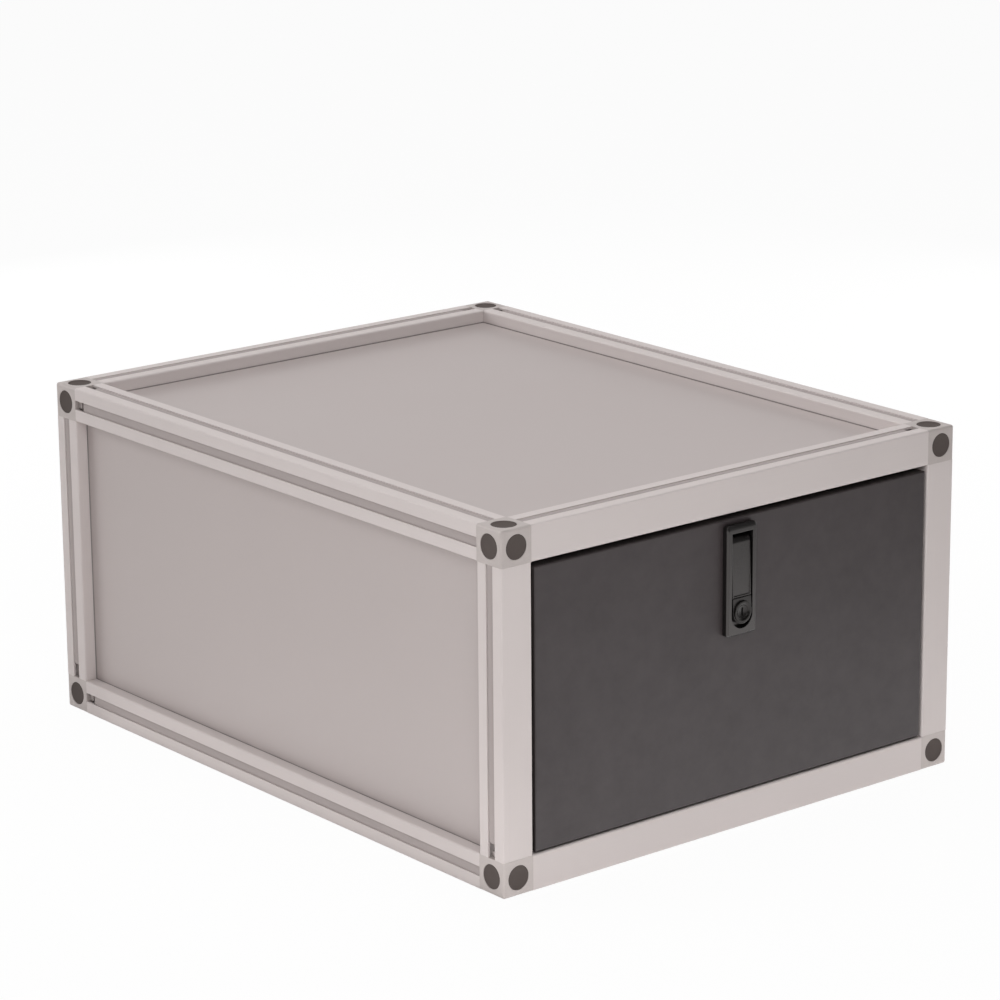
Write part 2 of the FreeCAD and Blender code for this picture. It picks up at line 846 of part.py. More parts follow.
def drawer_back():
    """Return the back board, which stands between the sides."""
    body = block((-side_inner, side_inner), (back_front, box_back), (drawer_side_bottom, drawer_side_top))
    groove = (back_front - over, back_front + drawer_base_groove)
    tools = [block((-side_inner - over, side_inner + over), groove, base_zs)]
    for side in (-1, 1):
        for place in back_screw_places():
            end = side_inner - back_screw_reach
            tools.append(cylinder("x", place, screw_hole, side * end, side * (side_inner + over)))
    return body.cut(tools).Solids[0]


def drawer_base():
    """Return the base board, held in the grooves of the four walls."""
    into = drawer_base_groove - running_gap
    reach = side_inner + into
    return block((-reach, reach), (front_back - into, back_front + into), (base_bottom, base_top))


def pan_screw(axis, place, seat, end):
    """Return a pan-head screw from its seat under the head to its end."""
    out = 1 if seat > end else -1
    head_end = seat + out * wood_screw_head_height
    head = cylinder(axis, place, wood_screw_head / 2, seat, head_end)
    slot = (place[0] - wood_screw_head, place[0] + wood_screw_head)
    low, high = place[1] - driver_slot / 2, place[1] + driver_slot / 2
    recess = (head_end - out * wood_screw_head_height / 2, head_end + out * over)
    cut = prism(axis, [(slot[0], low), (slot[1], low), (slot[1], high), (slot[0], high)], *recess)
    shank = cylinder(axis, place, screw_radius, end, seat)
    return joined(head, shank).cut(cut).Solids[0]


def drawer_brackets():
    """Return the four steel angles that hold the sides to the front board."""
    angles = []
    for side in (-1, 1):
        for z in bracket_places():
            heights = (z - bracket_width / 2, z + bracket_width / 2)
            inner = side_inner - bracket_sheet
            on_side_board = block(
                (side * inner, side * side_inner), (front_back, front_back + bracket_leg), heights)
            on_front_board = block(
                (side * (side_inner - bracket_leg), side * side_inner),
                (front_back, front_back + bracket_sheet), heights)
            angle = joined(on_side_board, on_front_board)
            place = (bracket_screw_y, z)
            side_hole = cylinder("x", place, screw_hole, side * (inner - over), side * side_inner)
            place = (side * bracket_screw_x, z)
            front_hole = cylinder("y", place, screw_hole, front_back, front_back + bracket_leg)
            angles.append(angle.cut([side_hole, front_hole]).Solids[0])
    return Part.makeCompound(angles)


def drawer_screws():
    """Return the screws of the drawer box: brackets, slide members and back board."""
    screws = []
    for side in (-1, 1):
        for z in bracket_places():
            seat = side * (side_inner - bracket_sheet)
            screws.append(pan_screw("x", (bracket_screw_y, z), seat, side * side_bite))
            place = (side * bracket_screw_x, z)
            screws.append(pan_screw("y", place, front_back + bracket_sheet, front_bite))
        for place in slide_screw_places():
            seat = side * (side_outer + inner_web)
            screws.append(pan_screw("x", place, seat, side * (side_outer - wood_screw_bite)))
        for place in back_screw_places():
            neck = side * (side_outer - wood_screw_head_height)
            head = cone("x", place, screw_radius, wood_screw_head / 2, neck, side * side_outer)
            shank = cylinder("x", place, screw_radius, side * (side_inner - back_screw_reach), neck)
            screws.append(joined(head, shank))
    return Part.makeCompound(screws)


def foot_screw_heights():
    """Return the heights of the screws in the latch carrier's feet."""
    return [latch_height - foot_screw_spacing / 2, latch_height + foot_screw_spacing / 2]


# Latch pieces

def boss_heights():
    """Return the heights of the two screws that tie the dish to its carrier."""
    return [housing_low + boss_size, pin_z]


def latch_dish():
    """Return the cast dish: bezel, lever pocket, button guide and two bosses behind."""
    bezel_half = bezel_width / 2
    bezel = block((-bezel_half, bezel_half), (bezel_face, front_face), (bezel_low, bezel_high))
    upright = [e for e in bezel.Edges if abs(e.tangentAt(e.FirstParameter).y) > 0.9]
    bezel = bezel.makeFillet(bezel_corner_radius, upright)
    rim = [e for e in bezel.Edges if e.BoundBox.YMax < bezel_face + touch]
    bezel = bezel.makeChamfer(bezel_bevel, rim)
    housing = block(
        (-housing_half, housing_half), (front_face, floor_back), (housing_low, housing_high))
    bosses = []
    half_boss = boss_size / 2
    for z in boss_heights():
        heights = (z - half_boss, z + half_boss)
        bosses.append(block((boss_x - half_boss, housing_half), (floor_back, carrier_front), heights))
    body = joined(bezel, housing, *bosses)
    shelf_high = shelf_low + dish_shelf
    tail_hole = math.hypot(tail_width, tail_thickness) / 2 + sliding_gap
    pin_hole = lever_pin_diameter / 2 + fit
    thread = machine_screw_diameter / 2 + fit
    tools = [
        u_body(mouth_half, mouth_top, mouth_arc, bezel_face - over, bezel_face + mouth_depth),
        block((-mouth_half, mouth_half), (bezel_face, floor_face), (shelf_high, mouth_top)),
        u_body(guide_half, shelf_low, lock_height, bezel_face, floor_face),
        cylinder("y", (0, lock_height), tail_hole, floor_face - over, floor_back + over),
        cylinder("x", (pin_y, pin_z), pin_hole, -housing_half - over, housing_half + over),
    ]
    for z in boss_heights():
        end = carrier_back - machine_screw_length
        tools.append(cylinder("y", (boss_x, z), thread, end, carrier_front + over))
    return body.cut(tools).Solids[0]


def latch_carrier():
    """Return the sheet-steel bridge behind the dish, which guides the lock bolt and pinion."""
    foot_half = carrier_half + carrier_foot
    plate = block((-carrier_half, carrier_half), (carrier_front, carrier_back), (bezel_low, bezel_high))
    pieces = []
    for side in (-1, 1):
        leg = (side * (carrier_half - carrier_sheet), side * carrier_half)
        pieces.append(block(leg, (front_back, carrier_back), (bezel_low, bezel_high)))
        foot = (side * (carrier_half - carrier_sheet), side * foot_half)
        pieces.append(block(foot, (front_back, front_back + carrier_sheet), (bezel_low, bezel_high)))
    lip_front = bolt_back + sliding_gap
    lip_back = lip_front + guide_lip_thickness
    guide_zs = (bolt_shoulder + guide_margin, bezel_high - guide_margin)
    strap_zs = (lock_height - strap_width / 2, lock_height + strap_width / 2)
    left = bolt_left - sliding_gap
    right = bolt_right + sliding_gap
    post = pitch_radius + gear_tip * gear_module + guide_margin
    pieces += [
        block((left - guide_wall, left), (carrier_back, lip_back), guide_zs),
        block((left - guide_wall, left + guide_lip), (lip_front, lip_back), guide_zs),
        block((right, right + guide_wall), (carrier_back, lip_back), guide_zs),
        block((right - guide_lip, right + guide_wall), (lip_front, lip_back), guide_zs),
        block((left - guide_wall, left), (carrier_back, lip_back), strap_zs),
        block((post, post + guide_wall), (carrier_back, lip_back), strap_zs),
        block((left - guide_wall, post + guide_wall), (lip_front, lip_back), strap_zs),
    ]
    body = joined(plate, *pieces)
    hub = pinion_hub_diameter / 2 + running_gap
    tools = [cylinder("y", (0, lock_height), hub, carrier_front - over, carrier_back + sliding_gap)]
    foot_back = front_back + carrier_sheet
    for side in (-1, 1):
        for z in foot_screw_heights():
            place = (side * foot_screw_x, z)
            tools.append(cylinder("y", place, screw_hole, front_back - over, foot_back + over))
    hole = machine_screw_diameter / 2 + fit
    wide = machine_screw_head / 2 + fit
    for z in boss_heights():
        neck = carrier_back - (wide - hole)
        tools.append(cylinder("y", (boss_x, z), hole, carrier_front - over, carrier_back))
        tools.append(cone("y", (boss_x, z), hole, wide, neck, carrier_back))
    return body.cut(tools).Solids[0]


def latch_screws():
    """Return the screws of the latch: four in the carrier's feet, two through its plate."""
    screws = []
    for side in (-1, 1):
        for z in foot_screw_heights():
            place = (side * foot_screw_x, z)
            screws.append(pan_screw("y", place, front_back + carrier_sheet, front_bite))
    radius = machine_screw_diameter / 2
    head = machine_screw_head / 2
    for z in boss_heights():
        neck = carrier_back - (head - radius)
        flat = cone("y", (boss_x, z), radius, head, neck, carrier_back)
        shank = cylinder("y", (boss_x, z), radius, carrier_back - machine_screw_length + fit, neck)
        screws.append(joined(flat, shank))
    return Part.makeCompound(screws)


def lever_pin():
    """Return the pin that the lever turns on, held in the dish's walls."""
    return cylinder("x", (pin_y, pin_z), lever_pin_diameter / 2, -housing_half, housing_half)


def pull_lever():
    """Return the finger lever: a dished plate with a rim, curled back to its barrel."""
    half = lever_width / 2
    barrel = lever_barrel_diameter / 2
    bend = pin_z - lever_bend_drop
    outer_low = bezel_face + lever_bottom_recess
    outer_high = bezel_face + lever_top_recess
    profile = [
        (outer_low, lever_low),
        (outer_high, bend),
        (outer_high + lever_top_bevel, pin_z),
        (pin_y, pin_z + barrel),
        (pin_y, pin_z - barrel),
        (outer_high + lever_neck_thickness, bend - lever_neck_thickness),
        (outer_high + lever_thickness, bend - lever_neck_length),
        (outer_low + lever_thickness, lever_low),
    ]
    plate = prism("x", profile, -half, half)
    body = joined(plate, cylinder("x", (pin_y, pin_z), barrel, -half, half))
    slope = (outer_high - outer_low) / (bend - lever_low)
    pan_low = lever_low + lever_rim
    pan_high = bend - lever_rim - lever_rim_depth
    face_low = outer_low + slope * (pan_low - lever_low)
    face_high = outer_low + slope * (pan_high - lever_low)
    pan = [
        (face_low - over, pan_low), (face_low + lever_rim_depth, pan_low),
        (face_high + lever_rim_depth, pan_high), (face_high - over, pan_high),
    ]
    gap = lever_spring_gap / 2
    spring_room = block(
        (-gap, gap), (pin_y - barrel - sliding_gap, pin_y + barrel + over),
        (pin_z - lever_spring_leg - lever_thickness, pin_z + barrel + over))
    bore = cylinder("x", (pin_y, pin_z), lever_pin_diameter / 2 + fit, -half - over, half + over)
    pan_cut = prism("x", pan, lever_rim - half, half - lever_rim)
    return body.cut([pan_cut, spring_room, bore]).Solids[0]


def lock_button():
    """Return the push button that carries the lock: a U-shaped block with a sloping face."""
    low = lock_height - button_half
    body = u_body(button_half, button_high, lock_height, shell_face - over, button_back)
    face_high = bezel_face + button_top_recess
    face_low = bezel_face - button_bottom_proud
    slope = (face_high - face_low) / (button_high - low)
    wedge = [
        (face_low - slope * over, low - over), (face_high + slope * over, button_high + over),
        (shell_face - over * 2, button_high + over), (shell_face - over * 2, low - over),
    ]
    flange = shell_flange_diameter / 2 + running_gap
    tools = [
        prism("x", wedge, -button_half - over, button_half + over),
        cylinder("y", (0, lock_height), flange, shell_face - over, shell_flange_back),
        cylinder("y", (0, lock_height), shell_diameter / 2 + fit, shell_face, button_back + over),
    ]
    return body.cut(tools).Solids[0]


def lock_shell():
    """Return the lock's fixed shell: a flange dished towards the plug, and its barrel."""
    centre = (0, lock_height)
    flange = cylinder("y", centre, shell_flange_diameter / 2, shell_face, shell_flange_back)
    barrel = cylinder("y", centre, shell_diameter / 2, shell_flange_back, shell_back)
    bore = plug_diameter / 2 + fit
    dish = cone("y", centre, shell_cone_diameter / 2, bore, shell_face, plug_face)
    tools = [dish, cylinder("y", centre, bore, shell_face - over, shell_back + over)]
    return joined(flange, barrel).cut(tools).Solids[0]


def key_plug():
    """Return the turning plug: keyway in front, collar behind the shell, flat tail."""
    centre = (0, lock_height)
    plug = cylinder("y", centre, plug_diameter / 2, plug_face, collar_back)
    collar = cylinder("y", centre, plug_collar_diameter / 2, collar_front, collar_back)
    tail = block(
        (-tail_width / 2, tail_width / 2), (collar_back, tail_end),
        (lock_height - tail_thickness / 2, lock_height + tail_thickness / 2))
    keyway = block(
        (-keyway_width / 2, keyway_width / 2), (plug_face - over, plug_face + keyway_depth),
        (lock_height - keyway_height / 2, lock_height + keyway_height / 2))
    return joined(plug, collar, tail).cut(keyway).Solids[0]


def involute(radius, base):
    """Return the involute angle at a radius, or at the base circle below it."""
    if radius <= base:
        return 0
    angle = math.acos(base / radius)
    return math.tan(angle) - angle


def pinion_outline():
    """Return the pinion's outline about its own centre, with a tooth towards the rack."""
    pressure = math.radians(gear_pressure_angle)
    base = pitch_radius * math.cos(pressure)
    tip = pitch_radius + gear_tip * gear_module
    root = pitch_radius - gear_root * gear_module
    half_tooth = (math.pi * gear_module / 4 - gear_backlash / 2) / pitch_radius
    half_base = half_tooth + involute(pitch_radius, base)
    radii = [root, base, (base + pitch_radius) / 2, pitch_radius, (pitch_radius + tip) / 2, tip]
    outline = []
    for tooth in range(gear_teeth):
        middle = math.pi + 2 * math.pi * tooth / gear_teeth
        rising = [(radius, middle - half_base + involute(radius, base)) for radius in radii]
        falling = [(radius, 2 * middle - angle) for radius, angle in reversed(rising)]
        for radius, angle in rising + falling:
            outline.append((radius * math.cos(angle), lock_height + radius * math.sin(angle)))
    return outline


def lock_pinion():
    """Return the pinion, with a hub through the carrier and a slot for the plug's tail."""
    teeth = prism("y", pinion_outline(), bolt_front, bolt_back)
    hub = cylinder("y", (0, lock_height), pinion_hub_diameter / 2, carrier_front, bolt_front)
    slot = block(
        (-tail_width / 2 - running_gap, tail_width / 2 + running_gap),
        (carrier_front - over, bolt_back + over),
        (lock_height - tail_thickness / 2 - running_gap, lock_height + tail_thickness / 2 + running_gap))
    return joined(teeth, hub).cut(slot).Solids[0]


def lock_bolt():
    """Return the flat bolt that rises behind the top rail, with a rack on its arm."""
    pitch = math.pi * gear_module
    slope = math.tan(math.radians(gear_pressure_angle))
    half = pitch / 4 - gear_backlash / 2
    half_tip = half - slope * rack_tip * gear_module
    half_root = half + slope * rack_root * gear_module
    tip_x = -(pitch_radius - rack_tip * gear_module)
    below = math.ceil((bolt_throw + rack_mesh_length) / pitch)
    above = math.ceil(rack_mesh_length / pitch)
    low = lock_height - (below + 1) * pitch
    outline = [(bolt_left, low), (rack_root_x, low)]
    for index in range(-below, above):
        z = lock_height + (index + 0.5) * pitch
        outline += [
            (rack_root_x, z - half_root), (tip_x, z - half_tip),
            (tip_x, z + half_tip), (rack_root_x, z + half_root),
        ]
    outline += [
        (rack_root_x, bolt_shoulder), (bolt_right, bolt_shoulder),
        (bolt_right, bolt_top), (bolt_left, bolt_top),
    ]
    return prism("y", outline, bolt_front, bolt_back)


# Springs, each one wire along a smooth path of arcs

def arc_from(start, tangent, end):
    """Return the arc that leaves a point along a tangent and meets another point."""
    chord = end - start
    length = chord.Length
    direction = FreeCAD.Vector(chord).normalize()
    angle = tangent.getAngle(direction)
    bisector = (tangent + direction).normalize()
    middle = start + bisector * (length / 2 / math.cos(angle / 2))
    return Part.Arc(start, middle, end).toShape()


def biarc(start, start_tangent, end, end_tangent):
    """Return two arcs that join two points smoothly along their tangents."""
    gap = end - start
    both = start_tangent + end_tangent
    a = 2 * (start_tangent.dot(end_tangent) - 1)
    b = -2 * gap.dot(both)
    c = gap.dot(gap)
    reach = (-b - math.sqrt(b * b - 4 * a * c)) / (2 * a)
    if reach < 0:
        reach = (-b + math.sqrt(b * b - 4 * a * c)) / (2 * a)
    middle = (start + start_tangent * reach + end - end_tangent * reach) * 0.5
    first = arc_from(start, start_tangent, middle)
    second = arc_from(end, end_tangent * -1, middle)
    return [first, second]


def coil(axis, centre, radius, start, pitch, first_angle, quarters, wire, lead_in, lead_out):
    """Return a coil of round wire with a straight leg at each end, which may have no length."""
    def place(quarter):
        angle = first_angle + quarter * math.pi / 2
        a = centre[0] + radius * math.cos(angle)
        b = centre[1] + radius * math.sin(angle)
        return point(axis, start + pitch * quarter / 4, a, b)

    def heading(quarter):
        angle = first_angle + quarter * math.pi / 2
        rise = pitch / (2 * math.pi)
        return point(axis, rise, -radius * math.sin(angle), radius * math.cos(angle)).normalize()

    edges = []
    for quarter in range(quarters):
        edges += biarc(place(quarter), heading(quarter), place(quarter + 1), heading(quarter + 1))
    begin, towards_begin = place(0), heading(0)
    if lead_in > 0:
        tip = begin - towards_begin * lead_in
        edges.insert(0, Part.makeLine(tip, begin))
        begin = tip
    if lead_out > 0:
        end = place(quarters)
        edges.append(Part.makeLine(end, end + heading(quarters) * lead_out))
    section = Part.Wire(Part.makeCircle(wire / 2, begin, towards_begin))
    return Part.Wire(Part.__sortEdges__(edges)).makePipeShell([section], True, False)


def lever_spring():
    """Return the torsion spring round the lever's pin, one leg to the floor, one to the lever."""
    radius = lever_pin_diameter / 2 + lever_spring_wire / 2 + spring_gap
    quarters = 4 * lever_spring_turns + 1
    length = lever_spring_gap - 2 * sliding_gap - 4 * lever_spring_wire
    pitch = length * 4 / quarters
    reach = floor_face - pin_y - sliding_gap - lever_spring_wire / 2
    return coil(
        "x", (pin_y, pin_z), radius, -length / 2, pitch, math.pi / 2, quarters,
        lever_spring_wire, reach, lever_spring_leg)


def button_spring():
    """Return the compression spring between the button and the dish's floor."""
    radius = shell_diameter / 2 + button_spring_wire / 2 + spring_gap
    margin = sliding_gap + button_spring_wire / 2
    start = button_back + margin
    length = floor_face - margin - start
    pitch = length / button_spring_turns
    return coil(
        "y", (0, lock_height), radius, start, pitch, 0, 4 * button_spring_turns,
        button_spring_wire, 0, 0)


def export(parts):
    """Write each node to its own file."""
    os.makedirs("parts", exist_ok=True)
    for name, shape in parts.items():
        shape.exportStep("parts/" + name + ".step")


def frame_parts():
    """Return the nodes of the frame: bars, strips, corner blocks, panels and seals."""
    parts = {}
    table = bars()
    for name, (axis, base, length, closed, outward) in table.items():
        parts[name] = profile_bar(axis, base, length, closed)
    parts["cover_strips"] = cover_strips(table)
    caps = []
    screws = []
    for name, (centre, signs) in corners().items():
        parts[name] = corner_block(centre, signs)
        for axis, sign in zip("xyz", signs):
            caps.append(corner_cap(axis, centre, sign))
            screws.append(corner_screw(axis, centre, sign))
    parts["corner_caps"] = Part.makeCompound(caps)
    parts["corner_screws"] = Part.makeCompound(screws)
    seals = []
    for name, places in panels().items():
        parts[name] = panel(*places)
        seals += edge_seals(*places)
    parts["panel_seals"] = Part.makeCompound(seals)
    return parts


def drill_posts(parts):
    """Drill each post for the screws of its slide."""
    for side, hand in ((-1, "left"), (1, "right")):
        holes = [
            cylinder("x", place, screw_hole, *from_post(side, -slide_screw_edge - fit, over))
            for place in post_screw_places()]
        for depth in ("front", "back"):
            name = "post_" + depth + "_" + hand
            parts[name] = parts[name].cut(holes).Solids[0]


def slide_parts():
    """Return the nodes of the two ball slides."""
    parts = {"slide_post_screws": post_screws(), "slide_bumpers": slide_bumpers()}
    for side, hand in ((-1, "left"), (1, "right")):
        parts["slide_outer_" + hand] = slide_outer(side)
        parts["slide_middle_" + hand] = slide_middle(side)
        parts["slide_inner_" + hand] = slide_inner(side)
        parts["ball_cage_outer_" + hand] = outer_cage(side)
        parts["ball_cage_inner_" + hand] = inner_cage(side)
    return parts


def drawer_parts():
    """Return the nodes of the drawer box."""
    return {
        "drawer_front": drawer_front(),
        "drawer_side_left": drawer_side(-1),
        "drawer_side_right": drawer_side(1),
        "drawer_back": drawer_back(),
        "drawer_base": drawer_base(),
        "drawer_brackets": drawer_brackets(),
        "drawer_screws": drawer_screws(),
    }


def latch_parts():
    """Return the nodes of the latch and its lock."""
    return {
        "latch_dish": latch_dish(),
        "latch_carrier": latch_carrier(),
        "latch_screws": latch_screws(),
        "lever_pin": lever_pin(),
        "lever_spring": lever_spring(),
        "pull_lever": pull_lever(),
        "lock_button": lock_button(),
        "button_spring": button_spring(),
        "lock_shell": lock_shell(),
        "key_plug": key_plug(),
        "lock_pinion": lock_pinion(),
        "lock_bolt": lock_bolt(),
    }


def main():
    """Build every node and write it."""
    parts = frame_parts()
    drill_posts(parts)
    parts.update(slide_parts())
    parts.update(drawer_parts())
    parts.update(latch_parts())
    export(parts)


main()
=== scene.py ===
import json
import math
from itertools import product

import bpy
from bpy.props import FloatProperty, FloatVectorProperty, IntProperty, PointerProperty
from mathutils import Matrix, Vector

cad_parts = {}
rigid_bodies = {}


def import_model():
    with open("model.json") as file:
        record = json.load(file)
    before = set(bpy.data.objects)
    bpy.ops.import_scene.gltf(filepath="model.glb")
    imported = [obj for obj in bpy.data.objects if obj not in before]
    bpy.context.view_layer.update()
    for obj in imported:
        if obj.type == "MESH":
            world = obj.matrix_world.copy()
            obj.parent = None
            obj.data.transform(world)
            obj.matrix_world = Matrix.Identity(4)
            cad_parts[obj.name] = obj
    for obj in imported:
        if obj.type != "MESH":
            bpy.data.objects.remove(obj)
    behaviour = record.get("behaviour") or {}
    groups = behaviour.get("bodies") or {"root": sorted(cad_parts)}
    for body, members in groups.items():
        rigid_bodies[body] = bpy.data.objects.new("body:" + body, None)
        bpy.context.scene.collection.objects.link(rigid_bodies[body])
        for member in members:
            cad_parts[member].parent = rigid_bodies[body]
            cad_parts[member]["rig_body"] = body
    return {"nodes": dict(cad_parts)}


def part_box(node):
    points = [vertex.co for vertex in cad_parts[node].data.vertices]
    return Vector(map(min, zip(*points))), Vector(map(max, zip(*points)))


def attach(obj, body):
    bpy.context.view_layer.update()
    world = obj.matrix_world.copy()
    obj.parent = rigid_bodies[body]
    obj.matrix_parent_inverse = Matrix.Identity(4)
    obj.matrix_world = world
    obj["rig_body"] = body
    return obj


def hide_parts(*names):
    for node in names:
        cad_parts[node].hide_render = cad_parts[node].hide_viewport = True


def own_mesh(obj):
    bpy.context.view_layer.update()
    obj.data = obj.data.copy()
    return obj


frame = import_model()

bl_info = {
    "name": "Tool drawer module",
    "version": (1, 0, 0),
    "blender": (4, 5, 0),
    "location": "3D View > Sidebar > Drawer module",
    "description": "Finishes, caps, strips, latch pieces and a studio for the packed drawer module",
    "category": "Object",
}

NODES = frame["nodes"]
SLOT_OF = {name: node.material_slots[0].material.name for name, node in NODES.items()}
WARM_GLOSS = (1.0, 0.93, 0.91)  # tint of the reflections in the black coats
MERGED = 0.000002  # vertices closer than this, in metres, become one
SAME = 0.00003  # two places closer than this count as level with each other
CLOSE = 0.0002  # two places closer than this belong to one edge of a shape
CAST_ANGLE = math.radians(38)  # flatter edges than this are shaded smooth on cast pieces
MOULDED_ANGLE = math.radians(35)  # and on moulded ones

LENS, SENSOR = 138.419, 36.0  # millimetres
CAMERA_PLACE = (-2.01481, -2.48826, 1.12079)
CAMERA_HEADING, CAMERA_TILT, CAMERA_ROLL = -39.0837, 74.1738, -0.4680  # degrees
LOOKING_ALONG = (0.63, 0.777, 0.0)  # the level direction in which the camera looks
HORIZON = (0.22, 0.65)  # heights of a view between which the studio grows dim
FLOOR_FADE = (-1.2, -0.7)  # places in Y between which the floor's reflection grows bright


def screen(red, green, blue):
    """A colour in screen levels from 0 to 255, as the scene's linear colour."""
    levels = [value / 255 for value in (red, green, blue)]
    return tuple(v / 12.92 if v < 0.04045 else ((v + 0.055) / 1.055) ** 2.4 for v in levels)


def colour(name, description, levels):
    """A colour setting, given in screen levels."""
    return FloatVectorProperty(
        name=name, description=description, default=screen(*levels),
        subtype="COLOR", size=3, min=0.0, max=1.0,
    )


def length(name, description, default):
    """A length setting in metres."""
    return FloatProperty(
        name=name, description=description, default=default,
        subtype="DISTANCE", unit="LENGTH", min=0.0, precision=5,
    )


def share(name, description, default, top=1.0):
    """A setting from nothing to its top, usually 1."""
    return FloatProperty(name=name, description=description, default=default, min=0.0, max=top)


def watts(name, description, default):
    """A lamp's power setting."""
    return FloatProperty(name=name, description=description, default=default, unit="POWER", min=0.0)


class FinishColours(bpy.types.PropertyGroup):
    """Colours of the finishes."""

    bars: colour("Bars", "Anodised aluminium of the twelve bars", (204, 195, 193))
    blocks: colour("Corner blocks", "Coat on the cast corner blocks", (184, 175, 172))
    panels: colour("Panels", "Laminate on the five panels", (179, 169, 167))
    # The strips' plastic is darker than the bars, and made darker still as painted shade of the
    # recessed slots.
    strips: colour("Cover strips", "Plastic of the clip-in strips", (163, 153, 151))
    caps: colour("Caps", "Moulded plastic of the round caps", (86, 78, 75))
    seals: colour("Seals", "Rubber round the panels", (138, 132, 130))
    bumpers: colour("Bumpers", "Rubber end stops of the slides", (38, 36, 36))
    film: colour("Board film", "Dark film on the drawer's boards", (49, 41, 42))
    wood: colour("Bare wood", "Edges of the plywood", (188, 154, 112))
    # The sealer's dark also paints the shade seen in the gaps round the drawer front.
    sealed: colour("Sealed wood", "Dark sealer on the front board's edges", (50, 44, 43))
    latch: colour("Latch", "Black coat on the latch", (13, 12, 12))
    lock: colour("Lock", "Black plating on the lock", (18, 17, 16))
    steel: colour("Bright steel", "Slides, brackets and screws", (196, 197, 199))


class SurfaceSizes(bpy.types.PropertyGroup):
    """Sizes of the surface detail."""

    drawn_line: length("Drawn lines", "Width of the die lines along the bars", 0.00045)
    cast_grain: length("Cast grain", "Grain of the corner blocks' coat", 0.0006)
    panel_grain: length("Panel grain", "Grain of the laminate", 0.0007)
    mesh_pitch: length("Film mesh", "Pitch of the mesh pressed into the film", 0.0013)
    mould_grain: length("Mould grain", "Spark texture of the moulded plastic", 0.00035)
    ply_layer: length("Ply layer", "Thickness of one plywood layer", 0.0014)
    bar_edge: length("Bar edges", "Radius that light sees along the bars' edges", 0.0005)
    block_edge: length("Block edges", "Radius that light sees along the blocks' edges", 0.0007)


class CapSizes(bpy.types.PropertyGroup):
    """Sizes of the moulded corner caps."""

    radius: length("Radius", "Radius of the cap's round face", 0.01015)
    thickness: length("Thickness", "Thickness of the face", 0.0012)
    skirt: length("Skirt radius", "Outer radius of the skirt that grips the block", 0.0089)
    wall: length("Skirt wall", "Thickness of the skirt", 0.0012)
    reach: length("Skirt reach", "How far the skirt goes in behind the face", 0.0036)
    centre: length("Centre", "From the block's edges to the cap's centre", 0.015)
    rim_radius: length("Rim radius", "Rounding round the cap's outer face", 0.0005)
    face_dip: length("Face dip", "How far the middle of the face lies below the rim", 0.00025)
    land: length("Land", "Width of the flat ring inside the rim", 0.0008)
    slope: length("Slope", "Width of the slope from the ring to the dipped middle", 0.0006)
    ring: length("Middle ring", "Width of the flat ring in the dipped middle", 0.004)
    sides: IntProperty(name="Sides", description="Corners round the cap", default=72, min=24)


class StripSizes(bpy.types.PropertyGroup):
    """Sizes of the clip-in cover strips."""

    face_width: length("Face width", "Width of the strip's outer face", 0.0081)
    crown: length("Crown", "How far the middle of the face stands above its edges", 0.0009)
    web: length("Web", "Thickness of the face", 0.0012)
    leg: length("Leg", "How far the two legs reach into the slot", 0.0025)
    facets: IntProperty(name="Facets", description="Flats across the face", default=8, min=2)


class LatchSizes(bpy.types.PropertyGroup):
    """Sizes of the latch's shaped faces."""

    bevel: length("Bevel", "Bevel round the bezel's front", 0.0016)
    corner: length("Corner", "Radius of the bezel's corners", 0.0025)
    top_slope: length("Top slope", "How much further the bevel runs down at the top", 0.002)
    top_margin: length("Top margin", "From the bezel's top to its mouth", 0.0055)
    mouth_drop: length("Mouth drop", "How far the mouth's top edge comes down", 0.001)
    pan_top: length("Pan top", "Height of the top of the lever's dished face", 0.2451)
    barrel: length("Barrel", "Diameter of the lever's barrel round its pin", 0.0068)
    pan_depth: length("Pan depth", "Depth of the lever's dished face", 0.0007)
    bend: length("Lever bend", "Rounding where the lever turns in to its pin", 0.0014)
    plug_radius: length("Plug radius", "Radius of the lock plug's face", 0.00545)
    plug_dish: length("Plug dish", "How far the plug's face is hollowed", 0.0007)
    cast_edge: length("Cast edge", "Rounding of the cast pieces' edges", 0.00025)
    ring_edge: length("Ring edge", "Rounding of the lock's ring", 0.0004)
    plug_edge: length("Plug edge", "Rounding of the plug's edges", 0.00012)


class StudioSettings(bpy.types.PropertyGroup):
    """Lamps, room and floor."""

    ambient: share("Ambient", "Strength of the even light from all sides", 0.14, 4.0)
    ceiling: share("Ceiling", "Brightness of the studio overhead, as a share of its horizon", 0.12)
    room: share("Room", "Brightness of the room behind the camera, as reflections show it", 0.12)
    floor_front: watts("Front floor card", "Light from the bright floor before the drawer", 2.75)
    floor_left: watts("Left floor card", "Light from the bright floor beside the left panel", 0.55)
    front_left: watts("Front left lamp", "Soft lamp high at the front left", 13.5)
    back_left: watts("Back left lamp", "Soft lamp high at the back left", 72.0)
    overhead: watts("Overhead lamp", "Large soft lamp above", 18.2)
    front_high: watts("Front lamp", "Soft lamp high before the drawer", 3.5)
    side_left: watts("Left lamp", "Soft lamp beside the left panel", 1.6)
    side_right: watts("Right lamp", "Soft lamp beside the right panel", 14.0)
    behind: watts("Rear lamp", "Soft lamp behind the back panel", 14.0)
    floor_end: share("Floor's far end", "Brightness of the far floor, as reflections show it", 0.4)
    shadow: share("Floor shadow", "Share of the floor's white that shadows can darken", 0.04)
    floor_white: colour("Floor white", "Paint of the floor, under its own light", (236, 235, 234))
    floor_size: length("Floor size", "Side of the floor", 14.0)
    floor_drop: length("Floor drop", "How far the floor lies under the module", 0.0003)


def settings(name):
    """One group of the scene's settings."""
    return getattr(bpy.context.scene, name)


# Node building


